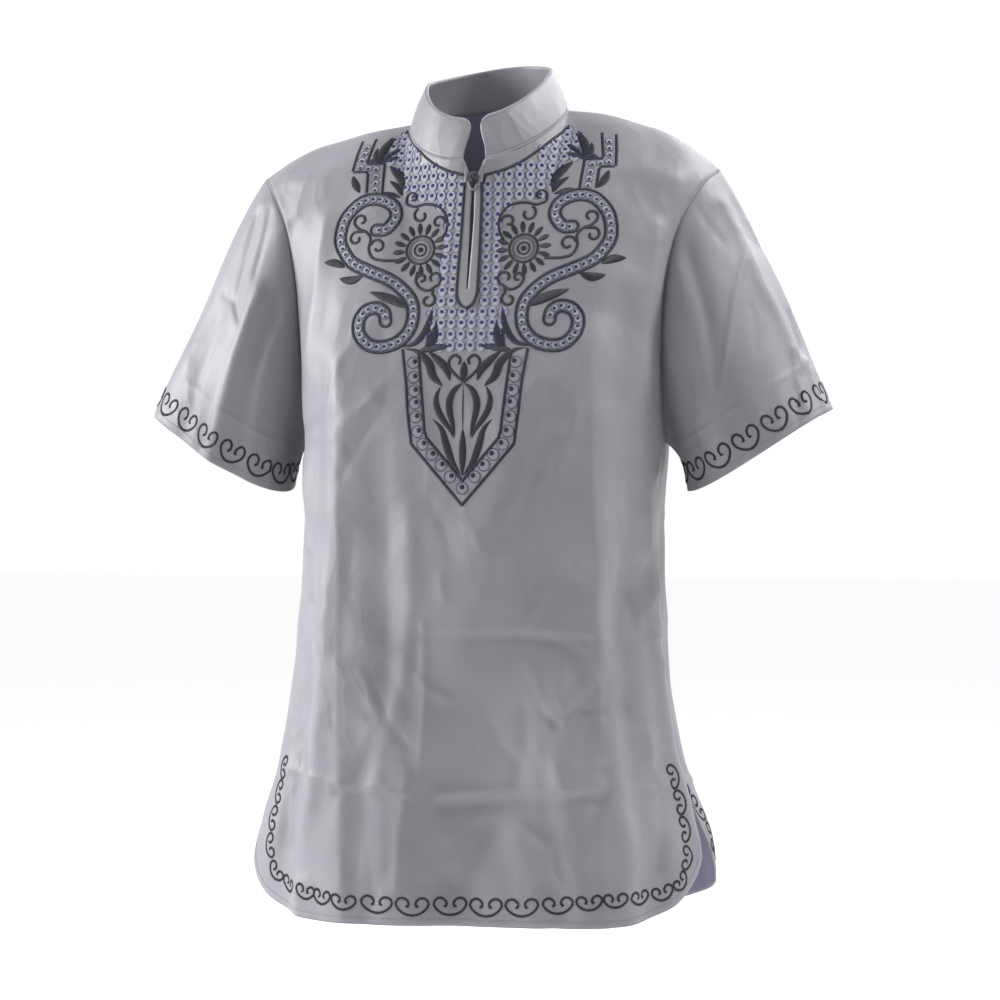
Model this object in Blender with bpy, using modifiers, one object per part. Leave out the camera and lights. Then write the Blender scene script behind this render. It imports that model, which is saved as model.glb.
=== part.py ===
"""Dashiki shirt, filled out as it hangs when worn, with nobody in it.

Metres, +Z up. The front faces -Y, +X is to the viewer's right, and Z = 0 is the high point of the shoulder,
where the collar meets it. Each panel is a grid of points on the garment's surface, worked out from the
tables below, and becomes a wall of cloth: the outer grid, the same grid moved in, and a rim that joins them.
"""

import math

import bpy
import numpy as np

PART_NAME = "dashiki_shirt"

CLOTH = 0.0013
SEAM_GAP = 0.00046
LAID_GAP = 0.0005

NECK_HALF = 0.079
NECK_Y = -0.004
NECK_FRONT_DEPTH = 0.081
NECK_BACK_DEPTH = 0.064
NECK_FRONT_DROP = 0.050
NECK_BACK_RISE = 0.016
NECK_FLATNESS = 1.2
NECK_SHARE = 0.4
SHOULDER_Y = -0.004
SHOULDER_LEAN = 0.085
LEAN_REACH = 0.16
SHOULDER_ROUND = 0.62
SHOULDER_SPAN = (0.10, 0.90)
# How soon a panel stands out below the neck, where 1 is round and more is flatter, and the same below the shoulder
NECK_FULLNESS = {"front": 1.50, "back": 0.95}
SHOULDER_FULLNESS = 0.95
FULLNESS_SPAN = (0.0, 0.42)
# Below the neck and shoulder the top edge's own shape fades, averaged over a widening part of the panel
TOP_SOFTENING = 0.26
SOFTENING_PACE = 0.8
SOFTENING_STEPS = (-1, -0.5, 0, 0.5, 1)

ARMPIT_Z = -0.325
SIDE_Y = -0.018
VENT_Z = -0.642
VENT_SPREAD = math.radians(15)
HEM_Z = {"front": -0.7875, "back": -0.792}
CORNER_Z = -0.7300
CORNER_SHARE = 0.55
CORNER_ROUND = 2.2
ARMHOLE_BLEND = 8
FOLD_EASE = 0.45

SLEEVE_HEM_CENTRE = (0.2710, -0.010, -0.3315)
SLEEVE_HEM_OUT = (0.0710, 0.0, 0.0385)
SLEEVE_HEM_DEPTH = 0.067
SLEEVE_HEM_DIP = 0.010
SLEEVE_DIP_SKEW = 0.7
SLEEVE_TOP_BULGE = 0.005
SLEEVE_FACE_BULGE = 0.017
SLEEVE_UNDER_CLEAR = 0.007
SLEEVE_BULGE_PLACE = 0.7

COLLAR_HEIGHT = 0.041
COLLAR_LEAN = 0.41
COLLAR_SIDEWAYS = 0.55
COLLAR_CURVE = 0.4

SLIT_FOOT_Z = -0.180
PLACKET_TOP_Z = -0.056
PLACKET_HALF = 0.0105
PLACKET_FOOT_Z = -0.1985
PLACKET_WALL = 0.0010
PLACKET_ROWS = 12
BAND_SHARES = (0.0, 0.5, 1.0)
# The placket's round foot: how far each row is down it, and where its columns stand
FOOT_SHARES = (0.45, 0.80, 1.0)
FOOT_COLUMNS = (-1, -0.5, -0.06, 0.06, 0.5, 1)
FOOT_FLAT = 0.35

BUTTON_RADIUS = 0.0063
BUTTON_Z = -0.0705
LOOP_RADIUS = 0.0009
LOOP_GAP = 0.0008
# The loop's long way round, about a centre below the button, open towards the band that it is sewn to
LOOP_DROP = 0.0042
LOOP_HALF_WIDTH = 0.0040
LOOP_HALF_LENGTH = 0.0076
LOOP_OPEN = math.radians(20)
LOOP_END_X = 0.0068
LOOP_STEPS = 20
LOOP_BEVEL = 2

HALF_COLUMNS = 20
NECK_COLUMNS = 8
UPPER_ROWS = 13
LOWER_ROWS = 17
VENT_ROW = 13
SLEEVE_ROWS = 9
ROUND_STEPS = 20
# Two rims that face each other over a seam split their quads the same way, from the lower end by this measure
RIM_ORDER = (0.31, 0.47, 1.0)
MITRE_LIMIT = 0.4
REACH_LIMIT = 0.6
SHARP_ANGLE = math.radians(40)
MERGE_WITHIN = 0.00005

# The torso's outline by height: half its width, the depth of its front and back, how square the ring is
BODY = (
    ("z", "half_width", "front", "back", "square", "centre", "back_centre"),
    (-0.325, 0.1765, -0.148, 0.113, 2.80, 0.000, 0.000),
    (-0.400, 0.1745, -0.150, 0.112, 2.75, -0.002, -0.002),
    (-0.480, 0.1765, -0.147, 0.110, 2.65, -0.004, -0.004),
    (-0.560, 0.1840, -0.144, 0.111, 2.55, -0.005, -0.005),
    (-0.642, 0.2000, -0.142, 0.116, 2.45, -0.006, -0.006),
    (-0.720, 0.2215, -0.143, 0.121, 2.35, -0.007, 0.002),
    (-0.800, 0.2260, -0.145, 0.124, 2.30, -0.007, 0.005),
)

# The top of the shoulder, from the neck out to the head of the sleeve
SHOULDER = (
    ("x", "z"),
    (0.079, 0.000),
    (0.120, -0.006),
    (0.150, -0.0145),
    (0.183, -0.0255),
    (0.204, -0.0375),
    (0.2300, -0.0570),
)

# The armhole seam, from the top of the shoulder (0) down to the underarm (1)
ARMHOLE = (
    ("share", "front_x", "front_y", "back_x", "back_y", "z"),
    (0.00, 0.2300, -0.0040, 0.2300, -0.0040, -0.0570),
    (0.14, 0.2170, -0.0290, 0.2220, 0.0240, -0.0720),
    (0.30, 0.1980, -0.0500, 0.2080, 0.0480, -0.1080),
    (0.50, 0.1840, -0.0600, 0.1930, 0.0590, -0.1680),
    (0.70, 0.1790, -0.0590, 0.1840, 0.0560, -0.2350),
    (0.87, 0.1775, -0.0430, 0.1790, 0.0330, -0.2930),
    (1.00, 0.1770, -0.0180, 0.1770, -0.0180, -0.3250),
)

# Ridges (+) and troughs (-) that run down the torso: the angle from the centre front, how far it turns on
# the way down, where it starts and ends, half its width, and its height
FOLDS = (
    ("angle", "turn", "top", "foot", "spread", "height"),
    (-40.0, -2.0, -0.280, -0.800, 5.0, 0.0045),
    (-56.0, 4.0, -0.330, -0.720, 8.0, -0.0060),
    (-74.0, -6.0, -0.380, -0.790, 7.0, 0.0040),
    (-16.0, 6.0, -0.520, -0.800, 9.0, 0.0045),
    (4.0, -6.0, -0.480, -0.780, 10.0, -0.0050),
    (21.0, 6.0, -0.440, -0.800, 8.0, 0.0045),
    (40.0, 2.0, -0.280, -0.800, 5.0, 0.0040),
    (57.0, -5.0, -0.330, -0.700, 7.0, -0.0060),
    (78.0, 4.0, -0.380, -0.800, 6.0, 0.0055),
    (93.0, 2.0, -0.340, -0.640, 6.0, -0.0060),
    (110.0, 3.0, -0.200, -0.800, 8.0, 0.0070),
    (131.0, -4.0, -0.260, -0.760, 9.0, -0.0070),
    (150.0, 5.0, -0.320, -0.800, 8.0, 0.0060),
    (169.0, -3.0, -0.400, -0.800, 9.0, -0.0055),
    (-172.0, 4.0, -0.360, -0.800, 7.0, 0.0050),
    (-152.0, -3.0, -0.300, -0.780, 9.0, -0.0065),
    (-131.0, 5.0, -0.220, -0.800, 8.0, 0.0070),
    (-108.0, -3.0, -0.340, -0.760, 8.0, -0.0060),
)

# Half the width of the neck slit, by height
SLIT = (
    ("z", "half_gap"),
    (-0.050, 0.0110),
    (-0.060, 0.0064),
    (-0.075, 0.0026),
    (-0.110, 0.0018),
    (-0.150, 0.0011),
    (-0.180, 0.0006),
)

# The rounded front ends of the collar: how far each row stands from the centre line, and how far it dips
COLLAR_ENDS = (
    ("share", "half_gap", "drop"),
    (0.00, 0.0110, 0.0000),
    (0.22, 0.0106, 0.0000),
    (0.45, 0.0088, 0.0000),
    (0.68, 0.0072, 0.0008),
    (0.87, 0.0068, 0.0036),
    (1.00, 0.0096, 0.0060),
)

# The button's turned profile: the dome, its underside, and the shank that it is sewn on by
BUTTON_PROFILE = (
    ("share", "height"),
    (0.00, 0.0063),
    (0.45, 0.0059),
    (0.80, 0.0048),
    (1.00, 0.0034),
    (0.94, 0.0028),
    (0.70, 0.0026),
    (0.25, 0.0024),
    (0.25, 0.0000),
    (0.00, 0.0000),
)

FINISHES = {
    "cloth": ((0.52, 0.52, 0.56), 0.62),
    "facing": ((0.58, 0.58, 0.61), 0.58),
    "thread": ((0.03, 0.035, 0.05), 0.40),
}


def column(table, name):
    place = table[0].index(name)
    return np.array([row[place] for row in table[1:]], float)


def read(table, key, name, at):
    """The named column at each value of the key, on a smooth curve through the table's rows."""
    keys = column(table, key)
    values = column(table, name)
    if keys[0] > keys[-1]:
        keys = keys[::-1]
        values = values[::-1]
    slopes = np.gradient(values, keys)
    at = np.clip(at, keys[0], keys[-1])
    row = np.clip(np.searchsorted(keys, at) - 1, 0, len(keys) - 2)
    step = keys[row + 1] - keys[row]
    part = (at - keys[row]) / step
    rest = 1 - part
    start = values[row] * (1 + 2 * part) + slopes[row] * step * part
    end = values[row + 1] * (3 - 2 * part) - slopes[row + 1] * step * rest
    return start * rest**2 + end * part**2


def ease(value, low, high):
    share = np.clip((value - low) / (high - low), 0, 1)
    return share * share * (3 - 2 * share)


def relief(angle, z):
    """How far the long folds stand out at an angle from the centre front and a height."""
    out = np.zeros(np.broadcast(angle, z).shape)
    for row in FOLDS[1:]:
        fold = dict(zip(FOLDS[0], row))
        down = np.clip((fold["top"] - z) / (fold["top"] - fold["foot"]), 0, 1)
        off = (angle - fold["angle"] - fold["turn"] * down + 180) % 360 - 180
        body = np.exp(-((off / fold["spread"]) ** 2))
        out = out + fold["height"] * body * ease(down, 0.0, FOLD_EASE)
    return out


def ring_point(side, across, z):
    """A point of the torso: across runs from -1 to 1 over one panel, from side seam to side seam."""
    sign = np.sign(across)
    square = read(BODY, "z", "square", z)
    open_angle = VENT_SPREAD * ease(VENT_Z - z, 0.0, VENT_Z - HEM_Z["front"])
    angle = np.abs(across) ** (square / 2) * (math.pi / 2 - open_angle)
    back = side == "back"
    depth = read(BODY, "z", "back", z) - SIDE_Y if back else SIDE_Y - read(BODY, "z", "front", z)
    facing = 1 if back else -1
    turn = np.degrees(angle)
    stand = relief(sign * (180 - turn if back else turn), z)
    middle = read(BODY, "z", "back_centre" if back else "centre", np.minimum(z, VENT_Z))
    middle = np.where(z < VENT_Z, middle, read(BODY, "z", "centre", z))
    x = middle + sign * read(BODY, "z", "half_width", z) * np.sin(angle) ** (2 / square)
    y = SIDE_Y + facing * depth * np.maximum(np.cos(angle), 0) ** (2 / square)
    return np.stack([x + sign * stand * np.sin(angle), y + facing * stand * np.cos(angle), z + 0 * x], -1)


def neckline(side, turn):
    """The neck seam, at an angle of 0 at the centre of a panel and a quarter turn at the shoulder."""
    back = side == "back"
    depth = NECK_BACK_DEPTH if back else -NECK_FRONT_DEPTH
    height = NECK_BACK_RISE if back else -NECK_FRONT_DROP
    level = np.maximum(np.cos(turn), 0)
    x = NECK_HALF * np.sin(turn)
    return np.stack([x, NECK_Y + depth * level, height * level**NECK_FLATNESS], -1)


def lean(x):
    """The right shoulder sits a little higher near the neck than the left."""
    return SHOULDER_LEAN * x * np.exp(-((x / LEAN_REACH) ** 2))


def top_edge(side, across):
    size = np.abs(across)
    neck = neckline(side, np.minimum(size / NECK_SHARE, 1) * math.pi / 2)
    out = np.clip((size - NECK_SHARE) / (1 - NECK_SHARE), 0, 1)
    tip_x = column(SHOULDER, "x")[-1]
    x = NECK_HALF + (tip_x - NECK_HALF) * out
    y = NECK_Y + (SHOULDER_Y - NECK_Y) * out
    seam = np.stack([x, y, read(SHOULDER, "x", "z", x)], -1)
    point = np.where((size <= NECK_SHARE)[..., None], neck, seam)
    point[..., 0] = point[..., 0] * np.where(across < 0, -1, 1)
    point[..., 2] = point[..., 2] + lean(point[..., 0])
    return point


def armhole(side, share, sign=1):
    x = sign * read(ARMHOLE, "share", side + "_x", share)
    y = read(ARMHOLE, "share", side + "_y", share)
    return np.stack([x, y, read(ARMHOLE, "share", "z", share)], -1)


def column_point(side, across, down):
    """The plain fall of a column of cloth from the neck or shoulder to the level of the armpit."""
    spread = TOP_SOFTENING * down**SOFTENING_PACE
    beside = [top_edge(side, np.clip(across + step * spread, -1, 1)) for step in SOFTENING_STEPS]
    top = sum(beside) / len(beside)
    foot = ring_point(side, across, np.full(np.shape(across), ARMPIT_Z))
    shoulder = ease(np.abs(across), *SHOULDER_SPAN)
    fall = down ** (1 + SHOULDER_ROUND * shoulder)
    aside = ease(np.abs(across), *FULLNESS_SPAN)
    fullness = NECK_FULLNESS[side] + (SHOULDER_FULLNESS - NECK_FULLNESS[side]) * aside
    out = np.sin(down * math.pi / 2) ** fullness
    x = top[..., 0] + (foot[..., 0] - top[..., 0]) * down * down * (3 - 2 * down)
    y = top[..., 1] + (foot[..., 1] - top[..., 1]) * out
    z = top[..., 2] + (foot[..., 2] - top[..., 2]) * fall
    return np.stack([x, y, z], -1)


def upper_point(side, across, down):
    """The panel above the armpit: the plain fall, drawn in to the armhole seam at its edges."""
    across = across + 0 * down
    down = down + 0 * across
    sign = np.where(across < 0, -1.0, 1.0)
    seam = armhole(side, down, sign)
    edge = column_point(side, sign, down)
    pull = np.abs(across) ** ARMHOLE_BLEND
    return column_point(side, across, down) + pull[..., None] * (seam - edge)


def hem_z(side, across):
    """The lower edge, with its rounded corners at the vents."""
    past = np.clip((np.abs(across) - CORNER_SHARE) / (1 - CORNER_SHARE), 0, 1)
    return HEM_Z[side] + (CORNER_Z - HEM_Z[side]) * (1 - np.sqrt(1 - past**CORNER_ROUND))


def lower_point(side, across, down):
    across = across + 0 * down
    z = ARMPIT_Z + (hem_z(side, across) - ARMPIT_Z) * down
    return ring_point(side, across, z)


def grid_faces(rows, columns, index=None, closed=False):
    """The quads of a grid whose points face the viewer with rows going down and columns to the right."""
    if index is None:
        index = np.arange(rows * columns).reshape(rows, columns)
    faces = []
    for row in range(rows - 1):
        for place in range(columns - (0 if closed else 1)):
            after = (place + 1) % columns
            corners = (index[row, place], index[row + 1, place], index[row + 1, after], index[row, after])
            faces.append(tuple(int(corner) for corner in corners))
    return faces


def body_rows():
    upper = np.linspace(0, 1, UPPER_ROWS + 1)
    lower_vent = (ARMPIT_Z - VENT_Z) / (ARMPIT_Z - CORNER_Z)
    above = np.linspace(0, lower_vent, VENT_ROW + 1)[1:]
    below = np.linspace(lower_vent, 1, LOWER_ROWS - VENT_ROW + 1)[1:]
    return upper, np.concatenate([above, below])


def body_panel(side):
    """The grid of one body panel. The front's middle column is split in two down to the foot of the slit."""
    across = np.linspace(-1, 1, 2 * HALF_COLUMNS + 1)
    upper, lower = body_rows()
    grid = np.concatenate(
        [upper_point(side, across[None, :], upper[:, None]), lower_point(side, across[None, :], lower[:, None])]
    )
    rows, columns = grid.shape[:2]
    index = np.arange(rows * columns).reshape(rows, columns)
    if side == "back":
        return grid.reshape(-1, 3), grid_faces(rows, columns, index[:, ::-1])
    middle = HALF_COLUMNS
    slit_rows = int(np.argmin(np.abs(grid[:UPPER_ROWS, middle, 2] - SLIT_FOOT_Z))) + 1
    foot = np.interp(-SLIT_FOOT_Z, -grid[:UPPER_ROWS, middle, 2], upper[:UPPER_ROWS])
    level = upper[slit_rows - 1] + (foot - upper[slit_rows - 1]) * (1 - across**2)
    grid[slit_rows - 1] = upper_point(side, across, level)
    half_gap = read(SLIT, "z", "half_gap", grid[: slit_rows - 1, middle, 2])
    right_edge = grid[: slit_rows - 1, middle].copy()
    right_edge[:, 0] += half_gap
    grid[: slit_rows - 1, middle, 0] -= half_gap
    points = np.concatenate([grid.reshape(-1, 3), right_edge])
    right = index.copy()
    right[: slit_rows - 1, middle] = rows * columns + np.arange(slit_rows - 1)
    faces = grid_faces(rows, middle + 1, index[:, : middle + 1])
    faces += grid_faces(rows, columns - middle, right[:, middle:])
    return points, faces


def sleeve(sign):
    """Rings from the armhole to the sleeve's hem. Each starts at the shoulder and goes down the front."""
    share = np.linspace(0, 1, UPPER_ROWS + 1)
    seam = np.concatenate([armhole("front", share), armhole("back", share[::-1])[1:-1]])
    turn = math.pi * np.concatenate([share, 2 - share[::-1][1:-1]])
    out = np.array(SLEEVE_HEM_OUT)
    hem = np.array(SLEEVE_HEM_CENTRE) + np.cos(turn)[:, None] * out
    hem[:, 1] -= SLEEVE_HEM_DEPTH * np.sin(turn)
    hem[:, 2] -= SLEEVE_HEM_DIP * np.sin(turn) * (1 - SLEEVE_DIP_SKEW * np.cos(turn))
    top = np.maximum(np.cos(turn), 0)[:, None] * out / np.linalg.norm(out) * SLEEVE_TOP_BULGE
    under = np.maximum(-np.cos(turn), 0)[:, None] * np.array([SLEEVE_UNDER_CLEAR, 0.0, 0.0])
    face = (np.sin(turn) * np.abs(np.sin(turn)))[:, None] * np.array([0.0, -SLEEVE_FACE_BULGE, 0.0])
    rings = []
    for down in np.linspace(0, 1, SLEEVE_ROWS + 1):
        bulge = math.sin(math.pi * down**SLEEVE_BULGE_PLACE)
        rings.append(seam + (hem - seam) * down + (top + under + face) * bulge)
    grid = np.array(rings)
    grid[..., 0] *= sign
    index = np.arange(grid.shape[0] * grid.shape[1]).reshape(grid.shape[:2])
    if sign > 0:
        index = index[:, ::-1]
    return grid.reshape(-1, 3), grid_faces(*grid.shape[:2], index, closed=True)


def collar():
    """Rows up the stand collar. Each runs from the left front end, round the back, to the right one."""
    quarter = np.linspace(0, math.pi / 2, NECK_COLUMNS + 1)
    front = neckline("front", quarter)
    back = neckline("back", quarter[::-1])
    half = np.concatenate([front, back[1:]])
    mirror = half * np.array([-1.0, 1.0, 1.0])
    base = np.concatenate([mirror, half[::-1][1:]])
    base[:, 2] += lean(base[:, 0])
    inward = np.stack([-base[:, 0], (NECK_Y - base[:, 1]) * COLLAR_SIDEWAYS, np.zeros(len(base))], -1)
    inward /= NECK_HALF
    shares = column(COLLAR_ENDS, "share")
    grid = np.empty((len(shares), len(base), 3))
    for row, share in enumerate(shares):
        rise = share * COLLAR_HEIGHT
        grid[row] = base + inward * COLLAR_LEAN * rise * (1 - COLLAR_CURVE * (1 - share))
        grid[row, :, 2] += rise
        half_gap = column(COLLAR_ENDS, "half_gap")[row]
        grid[row, 0, 0] = -half_gap
        grid[row, -1, 0] = half_gap
        grid[row, [0, -1], 2] -= column(COLLAR_ENDS, "drop")[row]
    index = np.arange(grid.shape[0] * grid.shape[1]).reshape(grid.shape[:2])
    return grid.reshape(-1, 3), grid_faces(*grid.shape[:2], index)


def normals_of(points, faces):
    """Each point's normal, as the sum of its faces' normals weighted by area."""
    total = np.zeros_like(points)
    for face in faces:
        corner = points[list(face)]
        normal = np.cross(corner[2] - corner[0], corner[3] - corner[1])
        for place in face:
            total[place] += normal
    return total / np.linalg.norm(total, axis=1)[:, None]


def open_edges(faces):
    """The edges that only one face has, each with that face."""
    edges = {}
    for face in faces:
        for first, second in zip(face, face[1:] + face[:1]):
            edges[(first, second)] = face
    return {edge: face for edge, face in edges.items() if edge[::-1] not in edges}


def inward(points, faces):
    """For each point on an open edge, the way into its own panel that leaves both its edges one unit behind."""
    sides = {}
    for (first, second), face in open_edges(faces).items():
        corner = points[list(face)]
        normal = np.cross(corner[2] - corner[0], corner[3] - corner[1])
        aside = np.cross(normal, points[second] - points[first])
        aside = aside / np.linalg.norm(aside)
        sides.setdefault(first, []).append(aside)
        sides.setdefault(second, []).append(aside)
    return {place: (one + two) / max(MITRE_LIMIT, 1 + float(one @ two)) for place, (one, two) in sides.items()}


def share_seams(pieces):
    """Where pieces meet, gives them one direction for the wall, and draws each back from the seam."""
    meeting = {}
    for piece in pieces.values():
        piece["normals"] = normals_of(piece["points"], piece["faces"])
        piece["reach"] = np.ones(len(piece["points"]))
        piece["inward"] = inward(piece["points"], piece["faces"])
    for name, piece in pieces.items():
        for place, point in enumerate(piece["points"]):
            meeting.setdefault(tuple(np.round(point, 6) + 0.0), []).append((name, place))
    drawn = {name: np.zeros_like(piece["points"]) for name, piece in pieces.items()}
    for places in meeting.values():
        if len(places) == 1:
            continue
        found = np.array([pieces[name]["normals"][place] for name, place in places])
        mean = found.sum(axis=0)
        mean /= np.linalg.norm(mean)
        reach = 1 / max(REACH_LIMIT, float((found @ mean).mean()))
        for name, place in places:
            piece = pieces[name]
            piece["normals"][place] = mean
            piece["reach"][place] = reach
            drawn[name][place] = piece["inward"][place] * SEAM_GAP / 2
    for name, piece in pieces.items():
        piece["order"] = piece["points"] @ np.array(RIM_ORDER)
        piece["points"] = piece["points"] + drawn[name]


def wall(points, faces, normals, thickness, order):
    """A closed wall of cloth: the given surface, the same surface moved in, and the rim round its edges."""
    count = len(points)
    shell = np.concatenate([points, points - normals * thickness[:, None]])
    inner = [tuple(place + count for place in face[::-1]) for face in faces]
    rim = []
    for first, second in open_edges(faces):
        far_first, far_second = first + count, second + count
        if order[first] < order[second]:
            rim += [(second, first, far_second), (first, far_first, far_second)]
        else:
            rim += [(second, first, far_first), (second, far_first, far_second)]
    return shell, list(faces) + inner + rim


def front_lines(front):
    """The front's middle column and the one beside it, for each side of the slit, with their normals."""
    columns = 2 * HALF_COLUMNS + 1
    rows = UPPER_ROWS + 1 + LOWER_ROWS
    middle = HALF_COLUMNS
    lines = {}
    for side in (-1, 1):
        found = []
        for values in (front["points"], front["normals"]):
            grid = values[: rows * columns].reshape(rows, columns, 3)
            edge = grid[:, middle].copy()
            extra = values[rows * columns :]
            if side > 0:
                edge[: len(extra)] = extra
            found += [edge, grid[:, middle + side]]
        lines[side] = found
    return lines


def on_front(lines, x, z):
    """The point of the front's own faces at a place beside the slit, and the normal there."""
    edge, beside, edge_normals, beside_normals = lines[1 if x > 0 else -1]
    level = float(np.interp(-z, -edge[:, 2], np.arange(len(edge))))
    row = min(int(level), len(edge) - 2)
    part = level - row
    near = edge[row] + (edge[row + 1] - edge[row]) * part
    far = beside[row] + (beside[row + 1] - beside[row]) * part
    share = (x - near[0]) / (far[0] - near[0])
    first = edge_normals[row] + (edge_normals[row + 1] - edge_normals[row]) * part
    second = beside_normals[row] + (beside_normals[row + 1] - beside_normals[row]) * part
    normal = first + (second - first) * share
    return near + (far - near) * share, normal / np.linalg.norm(normal)


def placket(lines):
    """The facing round the neck slit: a band down each side, joined by a round foot."""
    last = SLIT_FOOT_Z - SEAM_GAP
    plan = []
    for z in np.linspace(PLACKET_TOP_Z, last, PLACKET_ROWS):
        gap = float(read(SLIT, "z", "half_gap", np.array(z))) + SEAM_GAP
        band = [gap + (PLACKET_HALF - gap) * share for share in BAND_SHARES]
        plan.append([(-reach, z) for reach in band[::-1]] + [(reach, z) for reach in band])
    for share in FOOT_SHARES:
        z = last + (PLACKET_FOOT_Z - last) * share
        reach = PLACKET_HALF * max(FOOT_FLAT, math.sqrt(1 - share**2))
        plan.append([(reach * place, z) for place in FOOT_COLUMNS])
    points = []
    for row in plan:
        for x, z in row:
            place, normal = on_front(lines, x, z)
            points.append(place + normal * (LAID_GAP + PLACKET_WALL))
    columns = len(FOOT_COLUMNS)
    half = columns // 2
    index = np.arange(len(points)).reshape(-1, columns)
    faces = grid_faces(PLACKET_ROWS, half, index[:PLACKET_ROWS, :half])
    faces += grid_faces(PLACKET_ROWS, half, index[:PLACKET_ROWS, half:])
    faces += grid_faces(len(FOOT_SHARES) + 1, columns, index[PLACKET_ROWS - 1 :])
    return np.array(points), faces


def add_object(name, shell, faces, finish, collection):
    mesh = bpy.data.meshes.new(name)
    mesh.from_pydata([tuple(point) for point in shell], [], [tuple(face) for face in faces])
    mesh.update()
    mesh.shade_smooth()
    mesh.set_sharp_from_angle(angle=SHARP_ANGLE)
    made = bpy.data.objects.new(name, mesh)
    collection.objects.link(made)
    mesh.materials.append(material(finish))
    return made


def material(finish):
    color, roughness = FINISHES[finish]
    made = bpy.data.materials.get(finish) or bpy.data.materials.new(finish)
    made.use_nodes = True
    shader = made.node_tree.nodes["Principled BSDF"]
    shader.inputs["Base Color"].default_value = (*color, 1)
    shader.inputs["Roughness"].default_value = roughness
    shader.inputs["Metallic"].default_value = 0.0
    made.diffuse_color = (*color, 1)
    return made


def button_seat(lines):
    """The middle of the slit at the button's height, on the placket's surface, with the way out and down."""
    sides = [on_front(lines, side * PLACKET_HALF / 2, BUTTON_Z) for side in (-1, 1)]
    normal = sides[0][1] + sides[1][1]
    normal[0] = 0
    normal /= np.linalg.norm(normal)
    place = (sides[0][0] + sides[1][0]) / 2
    place[0] = 0
    return place + normal * (LAID_GAP + PLACKET_WALL), normal, np.array([0.0, -normal[2], normal[1]])


def add_button(lines, collection):
    """A domed button on a shank, turned about its own axis and set square to the cloth under it."""
    profile = [(share * BUTTON_RADIUS, 0.0, height) for share, height in BUTTON_PROFILE[1:]]
    mesh = bpy.data.meshes.new("button")
    mesh.from_pydata(profile, [(place, place + 1) for place in range(len(profile) - 1)], [])
    made = bpy.data.objects.new("button", mesh)
    collection.objects.link(made)
    turned = made.modifiers.new("turned", "SCREW")
    turned.steps = ROUND_STEPS
    turned.render_steps = ROUND_STEPS
    turned.use_merge_vertices = True
    turned.merge_threshold = MERGE_WITHIN
    place, normal, down = button_seat(lines)
    made.location = place + normal * LAID_GAP
    made.rotation_euler = (math.atan2(-normal[1], normal[2]), 0, 0)
    mesh.materials.append(material("thread"))


def add_loop(lines, collection):
    """The rouleau loop: from the right band round the button's shank, below the button, and back."""
    place, normal, down = button_seat(lines)
    centre = place + normal * (LOOP_GAP + LOOP_RADIUS) + down * LOOP_DROP
    path = []
    for turn in np.linspace(LOOP_OPEN, 2 * math.pi - LOOP_OPEN, LOOP_STEPS):
        path.append((LOOP_HALF_WIDTH * math.cos(turn), -LOOP_HALF_LENGTH * math.sin(turn)))
    path = [(LOOP_END_X, path[0][1]), *path, (LOOP_END_X, path[-1][1])]
    curve = bpy.data.curves.new("button_loop", "CURVE")
    curve.dimensions = "3D"
    curve.bevel_depth = LOOP_RADIUS
    curve.bevel_resolution = LOOP_BEVEL
    curve.use_fill_caps = True
    spline = curve.splines.new("POLY")
    spline.points.add(len(path) - 1)
    for point, (aside, fall) in zip(spline.points, path):
        point.co = (*(centre + np.array([aside, 0.0, 0.0]) + down * fall), 1)
    made = bpy.data.objects.new("button_loop", curve)
    collection.objects.link(made)
    curve.materials.append(material("facing"))


def build():
    for old in list(bpy.data.objects):
        bpy.data.objects.remove(old)
    collection = bpy.data.collections.new(PART_NAME)
    bpy.context.scene.collection.children.link(collection)
    makers = {
        "front": lambda: body_panel("front"),
        "back": lambda: body_panel("back"),
        "sleeve_left": lambda: sleeve(-1),
        "sleeve_right": lambda: sleeve(1),
        "collar": collar,
    }
    pieces = {}
    for name, make in makers.items():
        points, faces = make()
        pieces[name] = {"points": points, "faces": faces}
    share_seams(pieces)
    for name, piece in pieces.items():
        thickness = piece["reach"] * CLOTH
        shell, faces = wall(piece["points"], piece["faces"], piece["normals"], thickness, piece["order"])
        add_object(name, shell, faces, "cloth", collection)
    lines = front_lines(pieces["front"])
    points, faces = placket(lines)
    normals = normals_of(points, faces)
    shell, faces = wall(points, faces, normals, np.full(len(points), PLACKET_WALL), points[:, 2])
    add_object("placket", shell, faces, "facing", collection)
    add_button(lines, collection)
    add_loop(lines, collection)


build()
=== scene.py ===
import math
import random

import bpy
import numpy as np
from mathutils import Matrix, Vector
from mathutils.bvhtree import BVHTree


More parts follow.
